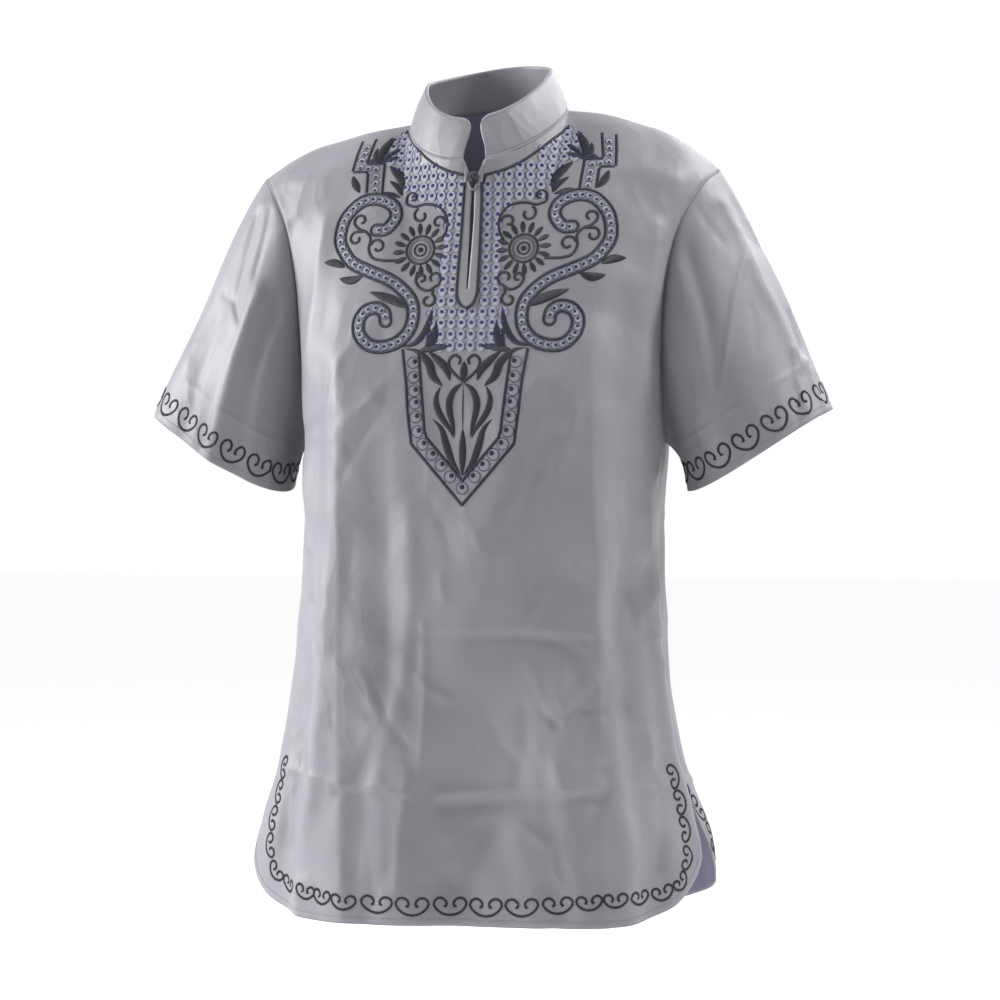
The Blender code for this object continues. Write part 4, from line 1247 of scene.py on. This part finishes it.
# Leaves and flames: a line down the middle, the greatest width, and where along it that comes
leafShapes = [
    ([(-127, -62), (-124, -70), (-118, -80)], 8.0, 0.5),
    ([(-101, -49), (-101, -36), (-91, -19)], 9.5, 0.50),
    ([(-99, -50), (-107, -46), (-116, -49)], 6.5, 0.5),
    ([(-100, -49), (-94, -41), (-82, -33)], 6.5, 0.55),
    ([(-100, -50), (-92, -45), (-81, -43)], 5.5, 0.5),
    ([(-100, -50), (-107, -42), (-107, -32)], 6.5, 0.5),
    ([(-74, -85), (-76, -68), (-91, -52)], 10.0, 0.55),
    ([(-75, -84), (-80, -75), (-89, -68)], 6.0, 0.5),
    ([(-75, -86), (-84, -83), (-95, -80)], 5.5, 0.5),
    ([(-125, -156), (-136, -151), (-148, -150)], 8.5, 0.5),
    ([(-105, -165), (-117, -169), (-130, -167)], 9.0, 0.5),
    ([(-58, -197), (-74, -189), (-97, -181)], 10.0, 0.45),
    ([(-33, -197), (-37, -216), (-47, -231), (-63, -236)], 7.0, 0.45),
    ([(-28, -209), (-30, -225), (-36, -240)], 10.0, 0.62),
    ([(-45, -240), (-30, -237), (-12, -235)], 7.5, 0.45),
    ([(-37, -239), (-34, -228), (-37, -213)], 7.0, 0.35),
    ([(-60, -237), (-46, -240), (-34, -251), (-29, -264), (-19, -274)], 9.0, 0.62),
    ([(-36, -239), (-24, -249), (-16, -258), (-12, -269)], 8.5, 0.55),
    ([(0, -271), (-8, -278), (-12.2, -289), (-11.4, -300), (-8.6, -311), (-6.5, -323)], 7.4, 0.42),
    ([(-21, -274), (-25, -284), (-23.8, -295), (-18, -306), (-11.5, -315), (-7.5, -324)], 6.6, 0.46),
    ([(-28, -305), (-19.5, -315), (-14.5, -331), (-9, -346), (0, -359)], 7.6, 0.52),
]
middleLeaves = [
    ([(1, -250), (1, -260), (1, -270)], 8.0, 0.5), ([(1, -314), (1, -336), (1, -360)], 7.4, 0.5),
    ([(1, -270), (1, -295), (1, -319)], 1.6, 0.5),
]


# Suns in mm: each ring's radius, with its width as a share of the sun cord's, and the petals round them
sun = {
    "rings": ((13.8, 1.35), (11.0, 0.40), (9.4, 0.40), (5.9, 1.05)),
    "petals": 16, "turn": 0.10, "petalFrom": 15.0, "petalTo": 27.4, "petalWide": 2.8, "petalSteps": 14,
}

# Half width and half height of each kind of cord, in metres
cordSizes = {
    "yoke": (0.00152, 0.00072), "neck": (0.00150, 0.00074), "sun": (0.00105, 0.00058),
    "leaf": (0.001, 0.00019), "leafLift": 0.0001,
}


def leafLine(controls, width, peak):
    line = smoothLine(controls, 0.8)
    share = np.linspace(0, 1, len(line))
    warped = share ** (math.log(0.5) / math.log(peak))
    wide = np.maximum(np.sin(np.pi * warped), 0) ** 0.75 * width / 2
    return layFront(line, wide, cordSizes["leafLift"])


def sunLines(centre):
    lines = []
    for radius, wide in sun["rings"]:
        ring = ringLine(centre, radius)
        ring[-1] = ring[0]
        lines.append(layFront(ring, np.full(len(ring), wide)))
        lines[-1][0][-1] = lines[-1][0][0]
    return lines


def petalLines(centre):
    share = np.linspace(0, 1, sun["petalSteps"])
    wide = np.maximum(np.sin(np.pi * share**1.1), 0) ** 0.6 * sun["petalWide"]
    lines = []
    for place in range(sun["petals"]):
        turn = 2 * math.pi * place / sun["petals"] + sun["turn"]
        ray = [polar(centre, reach, turn)
               for reach in np.linspace(sun["petalFrom"], sun["petalTo"], sun["petalSteps"])]
        lines.append(layFront(ray, wide, cordSizes["leafLift"]))
    return lines


mainLines, neckLines = yokeLines()
suns = (yoke["sun"], (2 - yoke["sun"][0], yoke["sun"][1]))
strokes = [layFront(line) for line in mainLines]
yokeCords = threadPiece("yokeCords", strokes, *cordSizes["yoke"], charcoalThread)
neckCords = threadPiece("neckCords", [layFront(line) for line in neckLines] + [placketLine()],
                        *cordSizes["neck"], charcoalThread)
sunRings = threadPiece("sunRings", sunLines(suns[0]) + sunLines(suns[1]), *cordSizes["sun"], charcoalThread)
leafSet = leafShapes + [(mirrored(line), wide, peak) for line, wide, peak in leafShapes] + middleLeaves
leafLines = [leafLine(*leaf) for leaf in leafSet] + petalLines(suns[0]) + petalLines(suns[1])
yokeLeaves = threadPiece("yokeLeaves", leafLines, *cordSizes["leaf"], charcoalThread, sides=10)
print("yoke cords and leaves ready")


def domeMotif(radius, height, sides, rings):
    points = []
    for ring in range(rings):
        slope = math.pi / 2 * ring / rings
        for turn in np.linspace(0, 2 * math.pi, sides, endpoint=False):
            reach = radius * math.cos(slope)
            points.append((reach * math.cos(turn), reach * math.sin(turn), height * math.sin(slope)))
    points.append((0, 0, height))
    index = np.arange(rings * sides).reshape(rings, sides)
    faces = [face[::-1] for face in quadsOf(index, closed=True)]
    top = (rings - 1) * sides
    faces += [(top + step, top + (step + 1) % sides, rings * sides) for step in range(sides)]
    faces.append(tuple(range(sides))[::-1])
    made = meshObject("motif", points, faces)
    along = [point[1] for point in points]
    made.data.attributes.new("along", "FLOAT", "POINT").data.foreach_set("value", along)
    return made


def arcMotif(arcs, wide, high, taper=True):
    # Thin arcs in the motif's own plane: radius, start and sweep in degrees
    lines = []
    for radius, start, sweep in arcs:
        steps = max(int(abs(sweep) / 15), 6)
        turns = np.radians(start + sweep * np.linspace(0, 1, steps + 1))
        line = np.stack([radius * np.cos(turns), radius * np.sin(turns), 0 * turns], -1)
        share = np.linspace(0, 1, steps + 1)
        widths = np.maximum(np.sin(np.pi * share), 0.12) ** 0.6 if taper else np.ones(steps + 1)
        if abs(sweep) == 360:
            line[-1] = line[0]
        lines.append((line, np.tile((0.0, 0.0, 1.0), (steps + 1, 1)), widths))
    return threadPiece("motif", lines, wide, high, charcoalThread, sides=6)


def spotOn(x, z, turn, size, lift=0.0001):
    place, normal = onFront(x / 1000, z / 1000)
    way = np.array([math.cos(turn), 0.0, math.sin(turn)])
    way = way - normal * float(way @ normal)
    return place + normal * lift, normal, way / np.linalg.norm(way), size


def inside(x, z, outline):
    crossing = False
    for (x0, z0), (x1, z1) in zip(outline, outline[1:] + outline[:1]):
        if (z0 > z) != (z1 > z) and x < (x1 - x0) * (z - z0) / (z1 - z0) + x0:
            crossing = not crossing
    return crossing


scaleField = {
    "left": [(-84, -9), (-92, -18), (-99, -30), (-100, -47), (-93, -50), (-84, -60), (-77, -80),
             (-69, -88), (-57, -93), (-50, -91), (-36, -94), (-26, -103), (-25, -117), (-32, -126),
             (-33, -158), (-27, -162), (-24, -176), (-30, -184), (-31, -199), (-38, -202), (-36, -216),
             (-34, -232), (-22, -240), (-8, -243), (1, -246), (1, -6)],
    "across": 10.0, "along": (10.2, 11.3), "alongTurnZ": -110, "topZ": -17.0, "footZ": -250, "columns": 11,
    "first": 13.2, "slant": 0.030, "leanZ": -80, "leanLeast": -20, "narrowZ": -202, "neckGap": 2.6,
}


def neckLevel(x):
    # How far up the neck cord stands at this distance from the middle
    size = abs(x - 1)
    return float(np.interp(size, (0, 10, 28, 44, 58, 71, 83), (-66.5, -67, -61.5, -53, -41.5, -28, -13)))


def scaleSpots():
    rows = []
    z = scaleField["topZ"]
    while z > scaleField["footZ"]:
        rows.append(z)
        at = -0.085 if z > -40 else -0.060 if z > -66 else -0.030
        here = onFront(at, z / 1000)[0]
        step = 0.5
        pitch = scaleField["along"][0 if z > scaleField["alongTurnZ"] else 1] / 1000
        while np.linalg.norm(onFront(at, (z - step) / 1000)[0] - here) < pitch:
            step += 0.25
        z -= step
    spots = []
    for z in rows:
        for side in (-1, 1):
            for place in range(scaleField["columns"]):
                lean = scaleField["slant"] * max(scaleField["leanZ"] - z, scaleField["leanLeast"])
                low = z < scaleField["narrowZ"]
                start = 0.5 * scaleField["across"] if low else scaleField["first"] + lean
                reach = start + scaleField["across"] * place
                x = 1 + side * reach
                if not inside(1 - reach, z, scaleField["left"]):
                    continue
                if z > neckLevel(x) - scaleField["neckGap"]:
                    continue
                spots.append((x, z))
    return spots


# Fills in metres: domes by radius, height, sides and rings, and thin arcs by radius and thread
fill = {
    "disc": (0.0057, 0.00020, 24, 4), "dot": (0.00190, 0.00080, 16, 4), "patch": (0.0046, 0.00016, 18, 3),
    "crescents": [(0.0051, -68, 136), (0.0051, 112, 136)], "crescentThread": (0.00038, 0.00052),
    "ring": [(0.0038, 0, 360)], "ringThread": (0.00028, 0.00036),
    "bigRing": [(0.0056, 0, 360)], "bigThread": (0.00036, 0.00046),
    "tab": [(-49, -251), (-48, -265), (-47, -278), (-46, -290), (-45, -303), (-43, -317), (-38, -329),
            (-29, -339), (-20, -349), (-11, -360)],
    "tabFoot": (1, -371), "tabSize": 1.34, "tabShift": 1.6, "tabRise": 1.2,
}


def makeFills():
    disc, dot, patch = [domeMotif(*fill[kind]) for kind in ("disc", "dot", "patch")]
    sides = arcMotif(fill["crescents"], *fill["crescentThread"])
    ring = arcMotif(fill["ring"], *fill["ringThread"], taper=False)
    bigRing = arcMotif(fill["bigRing"], *fill["bigThread"], taper=False)
    cells = scaleSpots()
    rings = yokeRings()
    down = -math.pi / 2
    circles = fill["tab"] + mirrored(fill["tab"]) + [fill["tabFoot"]]
    dots = [spotOn(*polar((x, z), 0.9, turn), turn, 0.84, 0.0003) for x, z, turn in rings]
    for x, z in circles:
        shift = fill["tabShift"] if x < 0 else -fill["tabShift"] if x > 2 else 0
        dots.append(spotOn(x + shift, z + fill["tabRise"], 0, 1.3))
    dots += [spotOn(*centre, 0, 1.5) for centre in suns]
    plan = {
        "scalePatches": (disc, [spotOn(x, z, down, 1.0) for x, z in cells], paleThread),
        "scaleCrescents": (sides, [spotOn(x, z, 0, 1.0, 0.00025) for x, z in cells], scaleThread),
        "scaleDots": (dot, [spotOn(x, z + 1.0, down, 1.0, 0.00035) for x, z in cells], blueThread),
        "bandPatches": (patch, [spotOn(x, z, turn, 1.0) for x, z, turn in rings], paleThread),
        "bandRings": (ring, [spotOn(x, z, turn, 1.0, 0.0002) for x, z, turn in rings], scaleThread),
        "tabPatches": (patch, [spotOn(x, z, 0, fill["tabSize"]) for x, z in circles], tabThread),
        "tabRings": (bigRing, [spotOn(x, z, 0, 1.0, 0.0002) for x, z in circles], scaleThread),
        "bandDots": (dot, dots, charcoalThread),
    }
    pieces = {name: strewPiece(name, *row) for name, row in plan.items()}
    for motif in (disc, dot, patch, sides, ring, bigRing):
        bpy.data.objects.remove(motif)
    return pieces


fills = makeFills()
print("yoke fills ready")


# Borders of heart scrolls

heartScroll = [(0, 0), (-5.5, 0.9), (-10.5, 3.4), (-14.6, 7.2), (-16.2, 11.2), (-14.8, 15.0), (-11.2, 16.9),
               (-7.4, 16.4), (-4.4, 14.0), (-3.4, 11.0), (-4.4, 8.6), (-6.2, 9.2)]
heartSize = (33.5, 8.6)

# Where the scrolls stand on the front, in mm across and up: down one vent, round the hem, up the other vent
scrollSpots = [
    (-193, -645), (-198, -669), (-204, -695), (-206, -722), (-198, -747), (-180, -757), (-159, -761),
    (-140, -764), (-117, -767), (-83, -768), (-48, -769), (-13, -769), (22, -769), (57, -768), (91, -766),
    (121, -763), (145, -761), (166, -760), (185, -758), (201, -749), (206, -727), (203, -700), (198, -674),
    (191.5, -649),
]

# Metres, apart from the shares of a scroll's own size
border = {
    "thread": {"width": 0.00122, "height": 0.00064, "tooth": 0.42, "pitch": 0.0018, "sides": 6},
    "frontMiddle": (0.0, 0.0, -0.60), "frontShare": 0.93, "frontWide": (0.58, 1.0), "frontHigh": 0.78,
    "backMiddle": (0.0, 0.0, -0.55), "backIn": 0.0190, "backPitch": 0.0315, "backShare": 0.92,
    "smoothing": 160, "reach": 13,
    "sleevePitch": 0.0325, "sleeveIn": 0.0185, "sleeveReach": 0.012, "sleeveShare": 0.84, "sleeveHigh": 1.16,
}

stitch = {
    "half": 0.0012, "steps": 7, "size": (0.00030, 0.00034), "every": 3, "lift": 0.0001, "hemIn": 0.0065,
    "sleeveIn": 0.0070, "sleeveMiddle": (0.19, 0.0, -0.17), "seam": (0.00105, 0.00042), "seamStep": 0.003,
}


def nearestOn(tree, spot):
    place, normal = tree.find_nearest(Vector(spot))[:2]
    return np.array(place), np.array(normal)


def inwardOf(normal, along, toward):
    # The way across an edge that leads further in
    inward = np.cross(normal, along)
    return -inward if float(inward @ toward) < 0 else inward


def unitOf(step):
    return step / np.linalg.norm(step)


def scrollAt(tree, foot, along, inward, wide, high):
    # Two mirrored curls that start from one point, laid on the cloth there
    lines = []
    for mirror in (-1, 1):
        across, rise = along * mirror * wide / 1000, inward * high / 1000
        spots = [nearestOn(tree, foot + across * u + rise * (v - heartSize[1]))
                 for u, v in smoothLine(heartScroll, 0.5)]
        line, out = [np.array(part) for part in zip(*spots)]
        out[1:-1] = out[:-2] + out[1:-1] + out[2:]
        out /= np.linalg.norm(out, axis=1)[:, None]
        lines.append((line, out, np.ones(len(line))))
    return lines


def borderPiece(name, lines):
    return threadPiece(name, lines, finish=charcoalThread, **border["thread"])


def frontBorder(name):
    feet, normals = [np.array(part) for part in zip(*[onFront(x / 1000, z / 1000) for x, z in scrollSpots])]
    lines = []
    for foot, normal, step in zip(feet, normals, np.gradient(feet, axis=0)):
        room = float(np.linalg.norm(step))
        inward = inwardOf(normal, step / room, np.array(border["frontMiddle"]) - foot)
        wide = float(np.clip(border["frontShare"] * room * 1000 / heartSize[0], *border["frontWide"]))
        lines += scrollAt(frontTree, foot, step / room, inward, wide, max(wide, border["frontHigh"]))
    return borderPiece(name, lines)


def sleeveBorder(name, grid, tree):
    edge = np.concatenate([grid[-1], grid[-1][:1]])
    run = runOf(edge)
    count = round(run[-1] / border["sleevePitch"])
    wide = border["sleeveShare"] * run[-1] / count * 1000 / heartSize[0]
    lines = []
    for place in range(count):
        at = run[-1] * (place + 0.5) / count
        near = [np.array([np.interp((at + step) % run[-1], run, edge[:, part]) for part in range(3)])
                for step in (-border["sleeveReach"], 0.0, border["sleeveReach"])]
        along = unitOf(near[2] - near[0])
        foot, normal = nearestOn(tree, near[1])
        inward = inwardOf(normal, along, np.array([0.0, 0.0, 1.0]))
        centre = nearestOn(tree, foot + inward * border["sleeveIn"])[0]
        lines += scrollAt(tree, centre, along, inward, wide, border["sleeveHigh"])
    return borderPiece(name, lines)


def panelEdge(grid):
    # The free edge of a panel, from one vent's top round the hem to the other's
    free = grid[:, 0, 2] < cut["ventZ"]
    return evenLine(np.concatenate([grid[free, 0][:-1], grid[-1], grid[free, -1][::-1][1:]]), 0.001)


def stitchRun(edge, tree, reach, middle):
    # Stitches along an edge, a little way in from it
    spots = []
    for place in range(4, len(edge) - 4, stitch["every"]):
        along = unitOf(edge[place + 3] - edge[place - 3])
        foot, normal = nearestOn(tree, edge[place])
        inward = inwardOf(normal, along, np.array(middle) - foot)
        near, face = nearestOn(tree, foot + inward * reach)
        spots.append((near + face * stitch["lift"], face, along, 1.0))
    return spots


def backBorder(name):
    middle = np.array(border["backMiddle"])
    spots = stitchRun(panelEdge(backGrid), backTree, border["backIn"], middle)
    inner = evenLine(np.array([spot[0] for spot in spots]), 0.001)
    for _ in range(border["smoothing"]):
        inner[1:-1] = 0.25 * inner[:-2] + 0.5 * inner[1:-1] + 0.25 * inner[2:]
    inner = evenLine(inner, 0.001)
    count = round(len(inner) * 0.001 / border["backPitch"])
    pitch = len(inner) / count
    lines = []
    for place in range(count):
        at = int(pitch * (place + 0.5))
        ahead = inner[min(at + border["reach"], len(inner) - 1)]
        along = unitOf(ahead - inner[max(at - border["reach"], 0)])
        foot, normal = nearestOn(backTree, inner[at])
        inward = inwardOf(normal, along, middle - foot)
        wide = border["backShare"] * pitch / heartSize[0]
        lines += scrollAt(backTree, foot, along, inward, wide, border["backShare"])
    return borderPiece(name, lines)


def stitchMotif():
    line = np.array([(x, 0, 0) for x in np.linspace(-stitch["half"], stitch["half"], stitch["steps"])])
    wide = np.sqrt(np.maximum(1 - (line[:, 0] / (stitch["half"] + 0.0001)) ** 2, 0.02))
    return threadPiece("motif", [(line, np.tile((0.0, 0.0, 1.0), (len(line), 1)), wide)], *stitch["size"],
                       seamThread, sides=6)


def makeStitches():
    motif = stitchMotif()
    middle = border["backMiddle"]
    hems = stitchRun(panelEdge(frontGrid), frontTree, stitch["hemIn"], middle)
    hems += stitchRun(panelEdge(backGrid), backTree, stitch["hemIn"], middle)
    sleeves = []
    for grid, tree, sign in ((sleeveLeftGrid, sleeveLeftTree, -1), (sleeveRightGrid, sleeveRightTree, 1)):
        edge = evenLine(np.concatenate([grid[-1], grid[-1][:1]]), 0.001)
        towards = np.array(stitch["sleeveMiddle"]) * np.array([sign, 1, 1])
        sleeves += stitchRun(edge, tree, stitch["sleeveIn"], towards)
    top = stitchRun(evenLine(collarGrid[collar["rows"] - 1], 0.001), collarTree, 0.0, middle)
    runs = {"hemStitches": hems, "sleeveStitches": sleeves, "collarStitches": top}
    pieces = [strewPiece(name, motif, spots, seamThread) for name, spots in runs.items()]
    bpy.data.objects.remove(motif)
    return pieces


def seamCords():
    # The seams' own fine ridges, over the line where two pieces meet
    above = frontGrid[:, 0, 2] > cut["ventZ"]
    runs = [(sleeveLeftGrid[0], sleeveLeftTree, True), (sleeveRightGrid[0], sleeveRightTree, True),
            (collarGrid[0], collarTree, False), (frontGrid[above, 0], frontTree, False),
            (frontGrid[above, -1], frontTree, False)]
    lines = []
    for row, tree, closed in runs:
        row = evenLine(np.concatenate([row, row[:1]]) if closed else row, stitch["seamStep"])
        out = np.array([nearestOn(tree, spot)[1] for spot in row])
        lines.append((row, out, np.ones(len(row))))
    return threadPiece("seamCords", lines, *stitch["seam"], seamThread, sides=6)


stitches = [*makeStitches(), seamCords()]
borders = {
    "front": frontBorder("frontBorder"),
    "back": backBorder("backBorder"),
    "sleeve_left": sleeveBorder("sleeveLeftBorder", sleeveLeftGrid, sleeveLeftTree),
    "sleeve_right": sleeveBorder("sleeveRightBorder", sleeveRightGrid, sleeveRightTree),
}
loopRound = (buttonCut["loopRadius"], buttonCut["loopRadius"])
loopCord = threadPiece("rouleauLoop", makeLoop(), *loopRound, facingFinish)
print("borders ready")

dressed = {
    frontPanel: ("front", "cloth"), backPanel: ("back", "cloth"), sleeveLeft: ("sleeve_left", "cloth"),
    sleeveRight: ("sleeve_right", "cloth"), collarBand: ("collar", "cloth"),
    slitFacing: ("placket", "facing"), domedButton: ("button", "thread"),
    loopCord: ("button_loop", "facing"),
}
for piece, (node, slot) in dressed.items():
    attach(piece, "root")
    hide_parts(node)
for piece in (yokeCords, neckCords, sunRings, yokeLeaves, *fills.values(), *borders.values(), *stitches):
    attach(piece, "root")


# Studio

studio = {"turn": 10.5, "distance": 2.8, "height": -0.382, "aside": 0.0097, "floorZ": -1.30, "floorHalf": 30}

# Each light: where it stands, what it faces, its size and its watts
lights = {
    "keyLeft": ((-2.8, -0.50, 0.6), (0, 0, -0.40), (0.9, 1.8), 205),
    "sideRight": ((2.1, 0.20, 2.1), (0.1, 0, -0.10), (0.7, 1.0), 165),
    "rimBack": ((1.4, 2.4, 1.6), (0.1, 0, -0.2), (1.4, 1.4), 70),
}


def addLight(name, place, target, size, power):
    lamp = bpy.data.lights.new(name, "AREA")
    lamp.shape = "RECTANGLE"
    lamp.size, lamp.size_y = size
    lamp.energy = power
    made = addObject(name, lamp)
    made.location = place
    made.rotation_euler = (Vector(target) - Vector(place)).to_track_quat("-Z", "Y").to_euler()


def addCamera():
    turn = math.radians(studio["turn"])
    data = bpy.data.cameras.new("camera")
    data.sensor_width = 36
    data.lens = data.sensor_width * studio["distance"]
    made = addObject("camera", data)
    away = Vector((math.sin(turn), -math.cos(turn), 0)) * studio["distance"]
    side = Vector((math.cos(turn), math.sin(turn), 0)) * studio["aside"]
    made.location = side + away + Vector((0, 0, studio["height"]))
    made.rotation_euler = (math.pi / 2, 0, turn)
    bpy.context.scene.camera = made


def makeStudio():
    addCamera()
    floorFinish = newFinish("paleFloor", tones["floor"], 0.9, 0.1)[0]
    corners = [(x * studio["floorHalf"], y * studio["floorHalf"], studio["floorZ"])
               for x, y in ((-1, -1), (1, -1), (1, 1), (-1, 1))]
    floor = meshObject("floor", corners, [(0, 1, 2, 3)], None, floorFinish, smooth=False)
    world = bpy.data.worlds.new("studio")
    bpy.context.scene.world = world
    world.use_nodes = True
    sky = world.node_tree.nodes["Background"]
    feed(world.node_tree, sky, {"Color": (1.0, 1.0, 1.0, 1), "Strength": 1.0})
    for name, row in lights.items():
        addLight(name, *row)
    bpy.context.scene.view_settings.view_transform = "Standard"


makeStudio()
print("studio ready")
